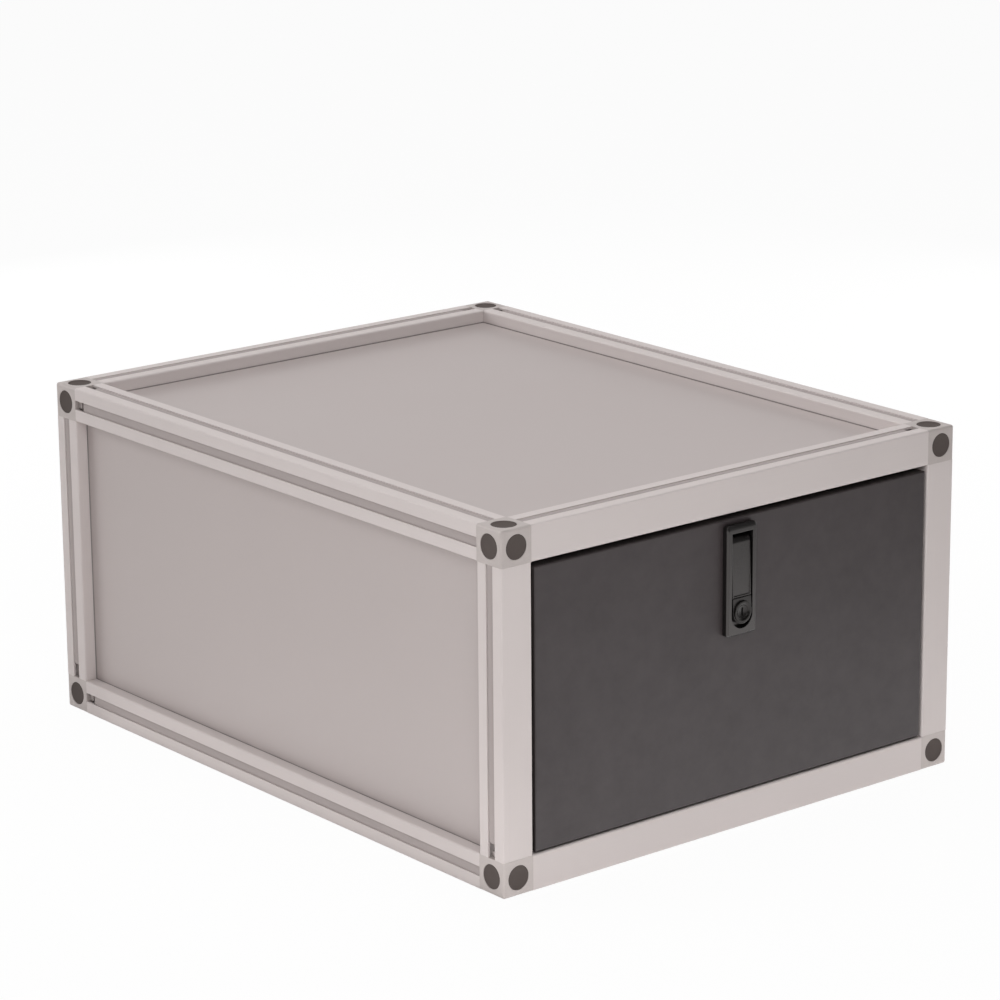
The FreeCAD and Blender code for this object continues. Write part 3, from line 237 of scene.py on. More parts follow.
def fill(tree, node, inputs):
    """Gives a node's inputs their values; a value may be another node's output."""
    for socket, value in inputs.items():
        if isinstance(value, bpy.types.NodeSocket):
            tree.links.new(value, node.inputs[socket])
        else:
            node.inputs[socket].default_value = value


def place(tree, kind, inputs=None, **options):
    """Adds a shader node with its options and inputs."""
    node = tree.nodes.new("ShaderNode" + kind)
    for option, value in options.items():
        setattr(node, option, value)
    fill(tree, node, inputs or {})
    return node


def number(tree, operation, *values):
    """One Math node's output."""
    return place(tree, "Math", dict(enumerate(values)), operation=operation).outputs[0]


def dot(tree, first, second):
    """How far two directions agree."""
    node = place(tree, "VectorMath", {0: first, 1: second}, operation="DOT_PRODUCT")
    return node.outputs["Value"]


def mixed_number(tree, mask, first, second):
    """Mixes two numbers by a mask."""
    return place(tree, "Mix", {0: mask, 2: first, 3: second}, data_type="FLOAT").outputs[0]


def weighed(tree, first, share_of_first, second):
    """Adds up two values by their shares."""
    rest = number(tree, "MULTIPLY", second, 1.0 - share_of_first)
    return number(tree, "MULTIPLY_ADD", first, share_of_first, rest)


def spread(tree, value, low, high, start=0.0, end=1.0, smooth=False):
    """Maps a value from start..end to low..high."""
    kind = "SMOOTHSTEP" if smooth else "LINEAR"
    inputs = {"Value": value, "From Min": start, "From Max": end, "To Min": low, "To Max": high}
    return place(tree, "MapRange", inputs, interpolation_type=kind).outputs["Result"]


def blended(tree, mask, first, second):
    """Mixes two colours by a mask; each is a plain colour or another node's output."""
    inputs = {0: mask}
    for socket, value in ((6, first), (7, second)):
        inputs[socket] = value if isinstance(value, bpy.types.NodeSocket) else (*value, 1.0)
    return place(tree, "Mix", inputs, data_type="RGBA").outputs[2]


def new_group(name, inputs, outputs):
    """A shader node group with named sockets, and its two ends."""
    tree = bpy.data.node_groups.new(name, "ShaderNodeTree")
    for label, kind, default in inputs:
        socket = tree.interface.new_socket(label, in_out="INPUT", socket_type="NodeSocket" + kind)
        if default is not None:
            socket.default_value = default
    for label, kind in outputs:
        tree.interface.new_socket(label, in_out="OUTPUT", socket_type="NodeSocket" + kind)
    start = tree.nodes.new("NodeGroupInput").outputs
    end = tree.nodes.new("NodeGroupOutput").inputs
    return tree, start, end


def use(tree, name, inputs):
    """Places a node group with its own values."""
    group = bpy.data.node_groups.get(name) or GROUPS[name]()
    return place(tree, "Group", inputs, node_tree=group).outputs


def fine_grain():
    """Small even grain, and slow clouds of tone over the whole piece."""
    tree, start, end = new_group(
        "Fine grain",
        [("Vector", "Vector", None), ("Grain Size", "Float", 0.0005),
         ("Cloud Size", "Float", 0.08)],
        [("Grain", "Float"), ("Cloud", "Float")],
    )
    for label, size, detail in (("Grain", "Grain Size", 3.0), ("Cloud", "Cloud Size", 2.0)):
        scale = number(tree, "DIVIDE", 1.0, start[size])
        noise = place(tree, "TexNoise", {
            "Vector": start["Vector"], "Scale": scale, "Detail": detail, "Roughness": 0.55})
        level = spread(tree, noise.outputs["Fac"], 0.0, 1.0, 0.28, 0.72)
        tree.links.new(level, end[label])
    return tree


def edge_wear_and_sheen():
    """A rounded normal along edges, and a broken mask along them that lightens the edges: rubbed
    wear, and on the black latch coat a painted highlight.
    """
    tree, start, end = new_group(
        "Edge wear",
        [("Vector", "Vector", None), ("Radius", "Float", 0.0005),
         ("Breakup Size", "Float", 0.004), ("Amount", "Float", 0.5)],
        [("Wear", "Float"), ("Normal", "Vector")],
    )
    rounded = place(tree, "Bevel", {"Radius": start["Radius"]}, samples=6).outputs["Normal"]
    flat = place(tree, "NewGeometry").outputs["Normal"]
    facing = dot(tree, rounded, flat)
    turned = spread(tree, facing, 1.0, 0.0, 0.80, 0.985, smooth=True)
    scale = number(tree, "DIVIDE", 1.0, start["Breakup Size"])
    noise = place(tree, "TexNoise", {"Vector": start["Vector"], "Scale": scale, "Detail": 4.0})
    broken = spread(tree, noise.outputs["Fac"], 0.0, 1.0, 0.38, 0.62)
    wear = number(tree, "MULTIPLY", number(tree, "MULTIPLY", turned, broken), start["Amount"])
    tree.links.new(wear, end["Wear"])
    tree.links.new(rounded, end["Normal"])
    return tree


def woven_mesh():
    """Crossed threads pressed into a film, a little uneven."""
    tree, start, end = new_group(
        "Woven mesh",
        [("Vector", "Vector", None), ("Pitch", "Float", 0.0013)],
        [("Height", "Float"), ("Tone", "Float")],
    )
    wander = place(tree, "TexNoise", {"Vector": start["Vector"], "Scale": 220.0, "Detail": 2.0})
    offset = spread(tree, wander.outputs["Fac"], -1.1, 1.1)
    split = place(tree, "SeparateXYZ", {0: start["Vector"]}).outputs
    turn = number(tree, "DIVIDE", math.tau, start["Pitch"])
    waves = []
    for axis in (0, 1):
        phase = number(tree, "MULTIPLY_ADD", split[axis], turn, offset)
        waves.append(spread(tree, number(tree, "SINE", phase), 0.0, 1.0, -1.0, 1.0))
    across = number(tree, "MULTIPLY", waves[0], waves[1])
    troughs = [number(tree, "SUBTRACT", 1.0, wave) for wave in waves]
    over = number(tree, "MULTIPLY", *troughs)
    height = number(tree, "ADD", across, over)
    tree.links.new(height, end["Height"])
    patches = place(tree, "TexNoise", {
        "Vector": start["Vector"], "Scale": 60.0, "Detail": 5.0, "Roughness": 0.7})
    patch = spread(tree, patches.outputs["Fac"], 0.0, 0.55, 0.3, 0.7)
    tone = number(tree, "MULTIPLY_ADD", height, 0.45, patch)
    tree.links.new(tone, end["Tone"])
    return tree


def ply_edge():
    """Alternating layers of veneer across a board's edge."""
    tree, start, end = new_group(
        "Ply edge",
        [("Vector", "Vector", None), ("Depth", "Float", 0.0), ("Layer", "Float", 0.0014)],
        [("Layer Tone", "Float"), ("Height", "Float")],
    )
    wander = place(tree, "TexNoise", {"Vector": start["Vector"], "Scale": 55.0, "Detail": 3.0})
    shifted = number(tree, "MULTIPLY_ADD", wander.outputs["Fac"], 0.00035, start["Depth"])
    turn = number(tree, "DIVIDE", math.pi, start["Layer"])
    band = number(tree, "SINE", number(tree, "MULTIPLY", shifted, turn))
    layer = spread(tree, band, 0.0, 1.0, -0.35, 0.35, smooth=True)
    pores = place(tree, "TexNoise", {"Vector": start["Vector"], "Scale": 1600.0, "Detail": 3.0})
    pore = spread(tree, pores.outputs["Fac"], 0.0, 0.3, 0.3, 0.7)
    tone = number(tree, "MULTIPLY_ADD", layer, 0.7, pore)
    tree.links.new(tone, end["Layer Tone"])
    tree.links.new(number(tree, "MULTIPLY_ADD", layer, 0.6, pores.outputs["Fac"]), end["Height"])
    return tree


def plated_spangle():
    """Small crystal patches of zinc plating."""
    tree, start, end = new_group(
        "Plated spangle",
        [("Vector", "Vector", None), ("Patch Size", "Float", 0.004)],
        [("Tone", "Float")],
    )
    scale = number(tree, "DIVIDE", 1.0, start["Patch Size"])
    cells = place(tree, "TexVoronoi", {"Vector": start["Vector"], "Scale": scale})
    levels = place(tree, "SeparateColor", {0: cells.outputs["Color"]}).outputs
    tree.links.new(levels[0], end["Tone"])
    return tree


GROUPS = {
    "Fine grain": fine_grain,
    "Edge wear": edge_wear_and_sheen,
    "Woven mesh": woven_mesh,
    "Ply edge": ply_edge,
    "Plated spangle": plated_spangle,
}


def new_material(name, **sockets):
    """A material with one Principled shader; the sockets given are constants."""
    material = bpy.data.materials.new(name)
    material.use_nodes = True
    tree = material.node_tree
    tree.nodes.clear()
    shader = tree.nodes.new("ShaderNodeBsdfPrincipled")
    output = tree.nodes.new("ShaderNodeOutputMaterial")
    tree.links.new(shader.outputs["BSDF"], output.inputs["Surface"])
    for socket, value in sockets.items():
        shader.inputs[socket.replace("_", " ").title().replace("Ior", "IOR")].default_value = value
    return material, tree, shader


def coordinates(tree, stretch=None):
    """The piece's own coordinates, drawn out along one axis where a finish has a direction."""
    own = place(tree, "TexCoord").outputs["Object"]
    if stretch is None:
        return own
    drawn = place(tree, "Mapping", {"Vector": own, "Scale": stretch}, vector_type="POINT")
    return drawn.outputs["Vector"]


def tinted(base, factor):
    """A colour made lighter or darker."""
    return tuple(min(1.0, channel * factor) for channel in base)


def finish_surface(tree, shader, base, relief, rough, normal, depth):
    """Joins colour, roughness and relief to the shader."""
    tree.links.new(base, shader.inputs["Base Color"])
    tree.links.new(rough, shader.inputs["Roughness"])
    bump = place(tree, "Bump", {
        "Strength": 1.0, "Distance": depth, "Height": relief, "Normal": normal})
    tree.links.new(bump.outputs["Normal"], shader.inputs["Normal"])


def grained(name, base, grain, depth, rough, edge, worn_and_lit_edge, wear, spread_by,
            cloud=0.09, stretch=None, metallic=0.0, specular=0.5, tint=(1.0, 1.0, 1.0)):
    """A coat, casting, moulding or drawn metal: grain, slow clouds of tone and lighter edges, which
    are rubbed wear and, on the latch coat, mostly a painted highlight.
    """
    material, tree, shader = new_material(
        name, metallic=metallic, specular_ior_level=specular, specular_tint=(*tint, 1.0))
    own = coordinates(tree)
    drawn = coordinates(tree, stretch)
    detail = use(tree, "Fine grain", {"Vector": drawn, "Grain Size": grain, "Cloud Size": cloud})
    slow = use(tree, "Fine grain", {"Vector": own, "Grain Size": grain, "Cloud Size": cloud})
    edges = use(tree, "Edge wear", {"Vector": own, "Radius": edge, "Amount": wear})
    tone = weighed(tree, detail["Grain"], 0.5, slow["Cloud"])
    body = blended(tree, tone, tinted(base, 1 - spread_by), tinted(base, 1 + spread_by))
    # Edges are tinted by the edge factor: rubbed wear, and where the factor is high a painted
    # highlight.
    face = blended(tree, edges["Wear"], body, tinted(base, worn_and_lit_edge))
    roughness = spread(tree, tone, rough - 0.06, rough + 0.06)
    finish_surface(tree, shader, face, detail["Grain"], roughness, edges["Normal"], depth)
    return material


# What grained() takes for each finish; the colours, and the sizes given by name, are settings
FINISHES = {
    "bar_aluminium": dict(
        base="bars", grain="drawn_line", depth=0.000006, rough=0.6, edge="bar_edge",
        worn_and_lit_edge=1.1, wear=0.35, spread_by=0.025, cloud=0.16, specular=0.25),
    "cast_block": dict(
        base="blocks", grain="cast_grain", depth=0.00003, rough=0.5, edge="block_edge",
        worn_and_lit_edge=1.2, wear=0.7, spread_by=0.08, cloud=0.012, metallic=0.1, specular=0.35),
    "panel_laminate_face": dict(
        base="panels", grain="panel_grain", depth=0.000012, rough=0.48, edge="bar_edge",
        worn_and_lit_edge=1.05, wear=0.2, spread_by=0.02, cloud=0.11),
    # Its colour is partly painted shade of the slots the strips sit in.
    "strip_moulding": dict(
        base="strips", grain="mould_grain", depth=0.000008, rough=0.6, edge=0.0003,
        worn_and_lit_edge=1.08, wear=0.3, spread_by=0.03, specular=0.3),
    "cap_moulding": dict(
        base="caps", grain="mould_grain", depth=0.00002, rough=0.8, edge=0.0003,
        worn_and_lit_edge=1.3, wear=0.5, spread_by=0.07, cloud=0.02, specular=0.12),
    "rubber": dict(
        grain=0.0005, depth=0.00002, edge=0.0003,
        worn_and_lit_edge=1.2, wear=0.3, spread_by=0.12, specular=0.35),
    # The latch coat's edges are painted seven times lighter than its black: a painted highlight
    # along the rounded edges, with a little rubbed wear.
    "latch_coat": dict(
        base="latch", grain=0.00045, depth=0.000005, rough=0.3, edge=0.0006,
        worn_and_lit_edge=7.0, wear=0.8, spread_by=0.08, cloud=0.02, specular=0.68, tint=WARM_GLOSS),
    "lock_plating": dict(
        base="lock", grain=0.0003, depth=0.000002, rough=0.24, edge=0.0002,
        worn_and_lit_edge=2.0, wear=0.7, spread_by=0.05, cloud=0.01, specular=0.3, tint=WARM_GLOSS),
    "spring_wire": dict(
        base="steel", darkened=0.12, grain=0.0002, depth=0.000003, rough=0.3, edge=0.0001,
        worn_and_lit_edge=1.1, wear=0.2, spread_by=0.08, metallic=1.0),
    "machined_steel": dict(
        base="steel", darkened=0.8, grain=0.00025, depth=0.000005, rough=0.32, edge=0.0002,
        worn_and_lit_edge=1.2, wear=0.5, spread_by=0.08, stretch=(1.0, 0.05, 1.0), metallic=1.0),
    "ball_and_cage": dict(
        base="steel", grain=0.0004, depth=0.000002, rough=0.2, edge=0.0002,
        worn_and_lit_edge=1.1, wear=0.3, spread_by=0.06, metallic=1.0),
}


def finish(kind, name=None, **more):
    """The material of one entry in the table of finishes, with more values where given."""
    values = {**FINISHES[kind], **more}
    base = getattr(settings("finish_colours"), values.pop("base"))
    values["base"] = tinted(base, values.pop("darkened", 1.0))
    for key in ("grain", "edge"):
        if isinstance(values[key], str):
            values[key] = getattr(settings("surface_sizes"), values[key])
    return grained(name or kind, **values)


def bar_finish(axis):
    """Anodised aluminium with die lines along the bar."""
    stretch = [1.0, 1.0, 1.0]
    stretch["xyz".index(axis)] = 0.006
    return finish("bar_aluminium", "bar_aluminium_" + axis, stretch=stretch)


def plated_finish(name, stretch):
    """Zinc-plated steel with patches of crystal and rolling lines."""
    steel = settings("finish_colours").steel
    material, tree, shader = new_material(name, metallic=1.0)
    own = coordinates(tree)
    spangle = use(tree, "Plated spangle", {"Vector": own, "Patch Size": 0.0035})
    rolled = coordinates(tree, stretch)
    detail = use(tree, "Fine grain", {"Vector": rolled, "Grain Size": 0.0004, "Cloud Size": 0.03})
    edges = use(tree, "Edge wear", {"Vector": own, "Radius": 0.0004, "Amount": 0.4})
    tone = weighed(tree, spangle["Tone"], 0.5, detail["Cloud"])
    body = blended(tree, tone, tinted(steel, 0.86), tinted(steel, 1.0))
    face = blended(tree, edges["Wear"], body, tinted(steel, 1.12))
    roughness = spread(tree, tone, 0.26, 0.42)
    finish_surface(tree, shader, face, detail["Grain"], roughness, edges["Normal"], 0.000004)
    return material


def board_finish(name, thickness_axis, sealed_shaded_edges):
    """Plywood faced with dark mesh film; its edges are bare layers, or sealed dark, and that dark
    also paints the shade in the gaps round the drawer front.
    """
    sizes, colours = settings("surface_sizes"), settings("finish_colours")
    material, tree, shader = new_material(name, specular_ior_level=0.5)
    own = coordinates(tree)
    parts = place(tree, "SeparateXYZ", {0: own}).outputs
    flat = [part for letter, part in zip("xyz", parts) if letter != thickness_axis]
    depth = parts["xyz".index(thickness_axis)]
    in_plane = place(tree, "CombineXYZ", {0: flat[0], 1: flat[1]}).outputs[0]
    film = use(tree, "Woven mesh", {"Vector": in_plane, "Pitch": sizes.mesh_pitch})
    slow = use(tree, "Fine grain", {"Vector": own, "Grain Size": 0.0004, "Cloud Size": 0.07})
    edges = use(tree, "Edge wear", {"Vector": own, "Radius": 0.0006, "Amount": 0.55})
    layers = use(tree, "Ply edge", {"Vector": own, "Depth": depth, "Layer": sizes.ply_layer})
    facing = place(tree, "SeparateXYZ", {0: place(tree, "TexCoord").outputs["Normal"]}).outputs
    on_face = number(tree, "ABSOLUTE", facing["xyz".index(thickness_axis)])
    on_edge = spread(tree, on_face, 1.0, 0.0, 0.3, 0.6)
    tone = weighed(tree, film["Tone"], 0.75, slow["Cloud"])
    film_face = blended(tree, tone, tinted(colours.film, 0.80), tinted(colours.film, 1.22))
    rubbed = blended(tree, edges["Wear"], film_face, tinted(colours.film, 1.9))
    # On the front board the dark sealed edge is partly painted shade of the gaps round it.
    wood = colours.sealed if sealed_shaded_edges else colours.wood
    bare = blended(tree, layers["Layer Tone"], tinted(wood, 0.55), tinted(wood, 1.1))
    base = blended(tree, on_edge, rubbed, bare)
    relief = number(tree, "ADD", film["Height"], number(tree, "MULTIPLY", slow["Grain"], 0.35))
    edge_relief = number(tree, "MULTIPLY", layers["Height"], 0.6)
    mixed = mixed_number(tree, on_edge, relief, edge_relief)
    roughness = spread(tree, tone, 0.62, 0.46)
    finish_surface(tree, shader, base, mixed, roughness, edges["Normal"], 0.00004)
    return material


def dress(node, material):
    """Gives a CAD node its finish."""
    for material_slot in NODES[node].material_slots:
        material_slot.material = material


# Mesh building


def select_only(*objects):
    """Selects these objects alone, and makes the last one active."""
    bpy.ops.object.select_all(action="DESELECT")
    for piece in objects:
        piece.select_set(True)
    bpy.context.view_layer.objects.active = objects[-1]


def pick_faces(piece, wanted):
    """Selects the faces that a test of centre and normal wants, in face mode."""
    bpy.ops.object.mode_set(mode="EDIT")
    bpy.ops.mesh.select_all(action="DESELECT")
    bpy.ops.mesh.select_mode(type="FACE")
    bpy.ops.object.mode_set(mode="OBJECT")
    for polygon in piece.data.polygons:
        polygon.select = wanted(polygon.center, polygon.normal)
    bpy.ops.object.mode_set(mode="EDIT")


def pick_edges(piece, wanted):
    """Selects the edges whose two ends a test wants, in edge mode."""
    bpy.ops.object.mode_set(mode="EDIT")
    bpy.ops.mesh.select_all(action="DESELECT")
    bpy.ops.mesh.select_mode(type="EDGE")
    bpy.ops.object.mode_set(mode="OBJECT")
    points = piece.data.vertices
    for edge in piece.data.edges:
        edge.select = wanted(points[edge.vertices[0]].co, points[edge.vertices[1]].co)
    bpy.ops.object.mode_set(mode="EDIT")


def push(piece, wanted, step):
    """Moves the vertices that a test of their place wants."""
    bpy.ops.object.mode_set(mode="EDIT")
    bpy.ops.mesh.select_all(action="DESELECT")
    bpy.ops.mesh.select_mode(type="VERT")
    bpy.ops.object.mode_set(mode="OBJECT")
    for vertex in piece.data.vertices:
        vertex.select = wanted(vertex.co)
    bpy.ops.object.mode_set(mode="EDIT")
    bpy.ops.transform.translate(value=step)
    bpy.ops.object.mode_set(mode="OBJECT")


def settle(piece):
    """Puts a piece's place into its mesh, points its faces outward and shades it."""
    if bpy.context.mode != "OBJECT":
        bpy.ops.object.mode_set(mode="OBJECT")
    select_only(piece)
    bpy.ops.object.transform_apply(location=True, rotation=True, scale=True)
    bpy.ops.object.mode_set(mode="EDIT")
    bpy.ops.mesh.select_all(action="SELECT")
    bpy.ops.mesh.remove_doubles(threshold=MERGED)
    bpy.ops.mesh.normals_make_consistent(inside=False)
    bpy.ops.object.mode_set(mode="OBJECT")
    bpy.ops.object.shade_smooth_by_angle(angle=MOULDED_ANGLE)


def copied(node, name):
    """A merged copy of a CAD node, ready to be shaped."""
    piece = bpy.data.objects.new(name, NODES[node].data.copy())
    bpy.context.scene.collection.objects.link(piece)
    select_only(piece)
    bpy.ops.object.mode_set(mode="EDIT")
    bpy.ops.mesh.select_all(action="SELECT")
    bpy.ops.mesh.remove_doubles(threshold=MERGED)
    bpy.ops.mesh.customdata_custom_splitnormals_clear()
    bpy.ops.object.mode_set(mode="OBJECT")
    return piece


def softened(node, name, width, segments=2, shape=None):
    """A copy of a CAD node, shaped further and with its sharp edges rounded, as cast ones are."""
    piece = copied(node, name)
    bpy.ops.object.mode_set(mode="EDIT")
    bpy.ops.mesh.dissolve_limited(angle_limit=math.radians(0.6))
    bpy.ops.object.mode_set(mode="OBJECT")
    if shape:
        shape(piece)
    bevel = piece.modifiers.new("rounding", "BEVEL")
    bevel.width = width
    bevel.segments = segments
    bevel.limit_method = "ANGLE"
    bevel.angle_limit = math.radians(30)
    bevel.use_clamp_overlap = True
    bpy.ops.object.modifier_apply(modifier=bevel.name)
    bpy.ops.object.shade_smooth_by_angle(angle=CAST_ANGLE)
    evened = piece.modifiers.new("evened", "WEIGHTED_NORMAL")
    evened.keep_sharp = True
    bpy.ops.object.modifier_apply(modifier=evened.name)
    return piece


def install(piece, material, *nodes):
    """Rides a finished piece on its nodes' body, in their place and material slot."""
    piece.data.materials.clear()
    piece.data.materials.append(material)
    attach(piece, NODES[nodes[0]]["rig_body"])
    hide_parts(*nodes)


class DressFrame(bpy.types.Operator):
    """Finish the bars, corner blocks, panels, seals and corner screws"""

    bl_idname = "drawer_module.dress_frame"
    bl_label = "Dress the frame"

    def execute(self, context):
        bars = {axis: bar_finish(axis) for axis in "xyz"}
        for name in NODES:
            if name.startswith("post_"):
                dress(name, bars["z"])
            elif name.startswith("rail_"):
                dress(name, bars["y" if name.endswith(("left", "right")) else "x"])
        blocks, panels = finish("cast_block"), finish("panel_laminate_face")
        for name in NODES:
            if name.startswith("corner_block_"):
                dress(name, blocks)
            elif name.startswith("panel_") and name != "panel_seals":
                dress(name, panels)
        dress("panel_seals", finish("rubber", "seal_rubber_black", base="seals", rough=0.7))
        dress("corner_screws", plated_finish("screw_zinc", None))
        return {"FINISHED"}


class DressSlides(bpy.types.Operator):
    """Finish the ball slides, their cages, screws and bumpers"""

    bl_idname = "drawer_module.dress_slides"
    bl_label = "Dress the slides"

    def execute(self, context):
        rolled = plated_finish("slide_zinc", (1.0, 0.02, 1.0))
        balls = finish("ball_and_cage")
        for name in NODES:
            if name.startswith("slide_") and SLOT_OF[name] == "slide_steel":
                dress(name, rolled)
            elif name.startswith("ball_cage_"):
                dress(name, balls)
        rubber = finish("rubber", "bumper_rubber_black", base="bumpers", rough=0.75)
        dress("slide_bumpers", rubber)
        dress("slide_post_screws", bpy.data.materials["screw_zinc"])
        return {"FINISHED"}


class DressDrawer(bpy.types.Operator):
    """Finish the drawer's boards, brackets and screws"""

    bl_idname = "drawer_module.dress_drawer"
    bl_label = "Dress the drawer"

    def execute(self, context):
        dress("drawer_front", board_finish("front_film", "y", True))
        dress("drawer_back", board_finish("back_film", "y", False))
        for side in ("left", "right"):
            dress("drawer_side_" + side, board_finish("side_film_" + side, "x", False))
        dress("drawer_base", board_finish("base_film", "z", False))
        folded = plated_finish("bracket_zinc", (1.0, 1.0, 0.03))
        dress("drawer_brackets", folded)
        dress("latch_carrier", folded)
        dress("drawer_screws", bpy.data.materials["screw_zinc"])
        dress("latch_screws", bpy.data.materials["screw_zinc"])
        return {"FINISHED"}


class DressLatch(bpy.types.Operator):
    """Finish the latch, its lock, bolt and springs, with rounded edges on what shows"""

    bl_idname = "drawer_module.dress_latch"
    bl_label = "Dress the latch"

    def slope_bezel(self, piece):
        """Draws the top bevel down the bezel's front, and lowers the mouth's top edge."""
        sizes = settings("latch_sizes")
        low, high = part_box("latch_dish")
        start = low.y + sizes.bevel
        corner = high.z - sizes.corner
        inner = high.x - sizes.corner - sizes.bevel
        depths = {round(v.co.y, 5) for v in piece.data.vertices}
        for row in sorted(y for y in depths if y < start - CLOSE / 2):
            drop = sizes.top_slope * (start - row) / sizes.bevel
            push(piece, lambda v: abs(v.y - row) < SAME and v.z > corner - CLOSE / 2, (0, 0, -drop))
        mouth = high.z - sizes.top_margin
        push(piece, lambda v: abs(v.z - mouth) < SAME and abs(v.x) < inner,
             (0, 0, -sizes.mouth_drop))

    def run_out_pan(self, piece):
        """Lets the lever's dished face rise to its edge at the top, where the hand goes in."""
        sizes = settings("latch_sizes")
        rim = min(v.co.y for v in piece.data.vertices if abs(v.co.z - sizes.pan_top) < CLOSE)
        floor = rim + sizes.pan_depth
        push(piece, lambda v: abs(v.z - sizes.pan_top) < CLOSE and abs(v.y - floor) < SAME,
             (0, -sizes.pan_depth, 0))
        bpy.ops.object.mode_set(mode="EDIT")
        bpy.ops.mesh.select_all(action="SELECT")
        bpy.ops.mesh.remove_doubles(threshold=SAME)
        bpy.ops.object.mode_set(mode="OBJECT")
        low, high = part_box("pull_lever")
        pin = high.z - sizes.barrel / 2
        width = high.x - low.x
        pick_edges(piece, lambda a, b: (
            a.y < rim + sizes.barrel / 2 and abs(a.z - b.z) < CLOSE / 2
            and sizes.pan_top + CLOSE < a.z < pin + CLOSE and abs(a.x - b.x) > width / 2))
        bpy.ops.mesh.bevel(offset=sizes.bend, segments=4, affect="EDGES")
        bpy.ops.object.mode_set(mode="OBJECT")

    def hollow_plug(self, piece):
        """Dishes the plug's face with a ball-shaped cutter."""
        sizes = settings("latch_sizes")
        low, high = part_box("key_plug")
        reach = (sizes.plug_radius ** 2 + sizes.plug_dish ** 2) / (2 * sizes.plug_dish)
        bpy.ops.object.select_all(action="DESELECT")
        bpy.ops.mesh.primitive_uv_sphere_add(
            segments=128, ring_count=96, radius=reach,
            location=((low.x + high.x) / 2, low.y + sizes.plug_dish - reach, (low.z + high.z) / 2))
        cutter = bpy.context.object
        select_only(piece)
        cut = piece.modifiers.new("dish", "BOOLEAN")
        cut.operation, cut.solver, cut.object = "DIFFERENCE", "EXACT", cutter
        bpy.ops.object.modifier_apply(modifier=cut.name)
        bpy.data.objects.remove(cutter)

    def execute(self, context):
        coat, lock = finish("latch_coat"), finish("lock_plating")
        sizes = settings("latch_sizes")
        shapes = {"latch_dish": self.slope_bezel, "pull_lever": self.run_out_pan}
        for node in ("latch_dish", "pull_lever", "lock_button"):
            piece = softened(node, node + "_cast", sizes.cast_edge, shape=shapes.get(node))
            install(piece, coat, node)
        install(softened("lock_shell", "lock_shell_turned", sizes.ring_edge, 3), lock, "lock_shell")
        plug = softened("key_plug", "key_plug_turned", sizes.plug_edge, shape=self.hollow_plug)
        install(plug, lock, "key_plug")
        steel, wire = finish("machined_steel"), finish("spring_wire")
        for name in ("lever_pin", "lock_bolt", "lock_pinion"):
            dress(name, steel)
        dress("lever_spring", wire)
        coil = copied("button_spring", "button_spring_coil")
        bpy.ops.object.shade_smooth_by_angle(angle=CAST_ANGLE)
        install(coil, wire, "button_spring")
        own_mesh(coil)
        return {"FINISHED"}


class CoverStrips(bpy.types.Operator):
    """Model one crowned strip with its two legs, and clip a copy into each open slot"""

    bl_idname = "drawer_module.cover_strips"
    bl_label = "Cover strips"

    def strip(self, sizes):
        """One metre of strip along X, its face towards Z and the edges of its face at z 0."""
        half = sizes.face_width / 2
        bpy.ops.object.select_all(action="DESELECT")
        bpy.ops.mesh.primitive_grid_add(
            x_subdivisions=1, y_subdivisions=sizes.facets, size=1.0, location=(0.5, 0, 0))
        strip = bpy.context.object
        strip.name = "cover_strip_first"
        strip.scale = (1.0, sizes.face_width, 1.0)
        bpy.ops.object.transform_apply(location=True, rotation=False, scale=True)
        bpy.ops.object.mode_set(mode="EDIT")
        bpy.ops.mesh.select_all(action="SELECT")
        bpy.ops.mesh.extrude_region_move(TRANSFORM_OT_translate={"value": (0, 0, -sizes.web)})
        bpy.ops.object.mode_set(mode="OBJECT")
        pitch = sizes.face_width / sizes.facets
        for row in range(1, sizes.facets // 2 + 1):
            place_of_row = half - row * pitch
            rise = sizes.crown * (1 - (place_of_row / half) ** 2)
            pick_edges(strip, lambda a, b: min(a.z, b.z) > -sizes.web / 2 and all(
                abs(abs(end.y) - place_of_row) < pitch / 4 for end in (a, b)))
            bpy.ops.transform.translate(value=(0, 0, rise))
        legs = {"value": (0, 0, sizes.web - sizes.leg)}
        for hand in (-1, 1):
            pick_faces(strip, lambda c, n: c.z < -sizes.web * 0.9 and c.y * hand > half - pitch)
            bpy.ops.mesh.extrude_region_move(TRANSFORM_OT_translate=legs)
        settle(strip)
        return strip

    def execute(self, context):
        low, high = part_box("cover_strips")
        first = self.strip(settings("strip_sizes"))
        copied("cover_strips", "strip_places")
        bpy.ops.object.mode_set(mode="EDIT")
        bpy.ops.mesh.select_all(action="SELECT")
        bpy.ops.mesh.separate(type="LOOSE")
        bpy.ops.object.mode_set(mode="OBJECT")
        places = list(context.selected_objects)
        copies = []
        for piece in places:
            corners = [Vector(corner) for corner in piece.bound_box]
            start = Vector(min(corner[i] for corner in corners) for i in range(3))
            end = Vector(max(corner[i] for corner in corners) for i in range(3))
            along = max(range(3), key=lambda i: end[i] - start[i])
            across = min(range(3), key=lambda i: end[i] - start[i])
            below, above = abs(start[across] - low[across]), abs(end[across] - high[across])
            sign = 1 if above < below else -1
            if min(below, above) > CLOSE:
                raise RuntimeError("a cover strip lies in no outer face")
            spot = (start + end) / 2
            spot[along] = start[along]
            spot[across] = end[across] if sign > 0 else start[across]
            run, outward = Vector((0, 0, 0)), Vector((0, 0, 0))
            run[along], outward[across] = 1.0, sign
            select_only(first)
            bpy.ops.object.duplicate(linked=False)
            copy = context.object
            turn = Matrix((run, outward.cross(run), outward)).transposed().to_4x4()
            stretch = Matrix.Diagonal((end[along] - start[along], 1.0, 1.0, 1.0))
            copy.matrix_world = Matrix.Translation(spot) @ turn @ stretch
            copies.append(copy)
        for spare in (first, *places):
            bpy.data.objects.remove(spare)
        select_only(*copies)
        bpy.ops.object.join()
        strips = context.object
        strips.name = "cover_strips_moulded"
        settle(strips)
        install(strips, finish("strip_moulding"), "cover_strips")
        return {"FINISHED"}


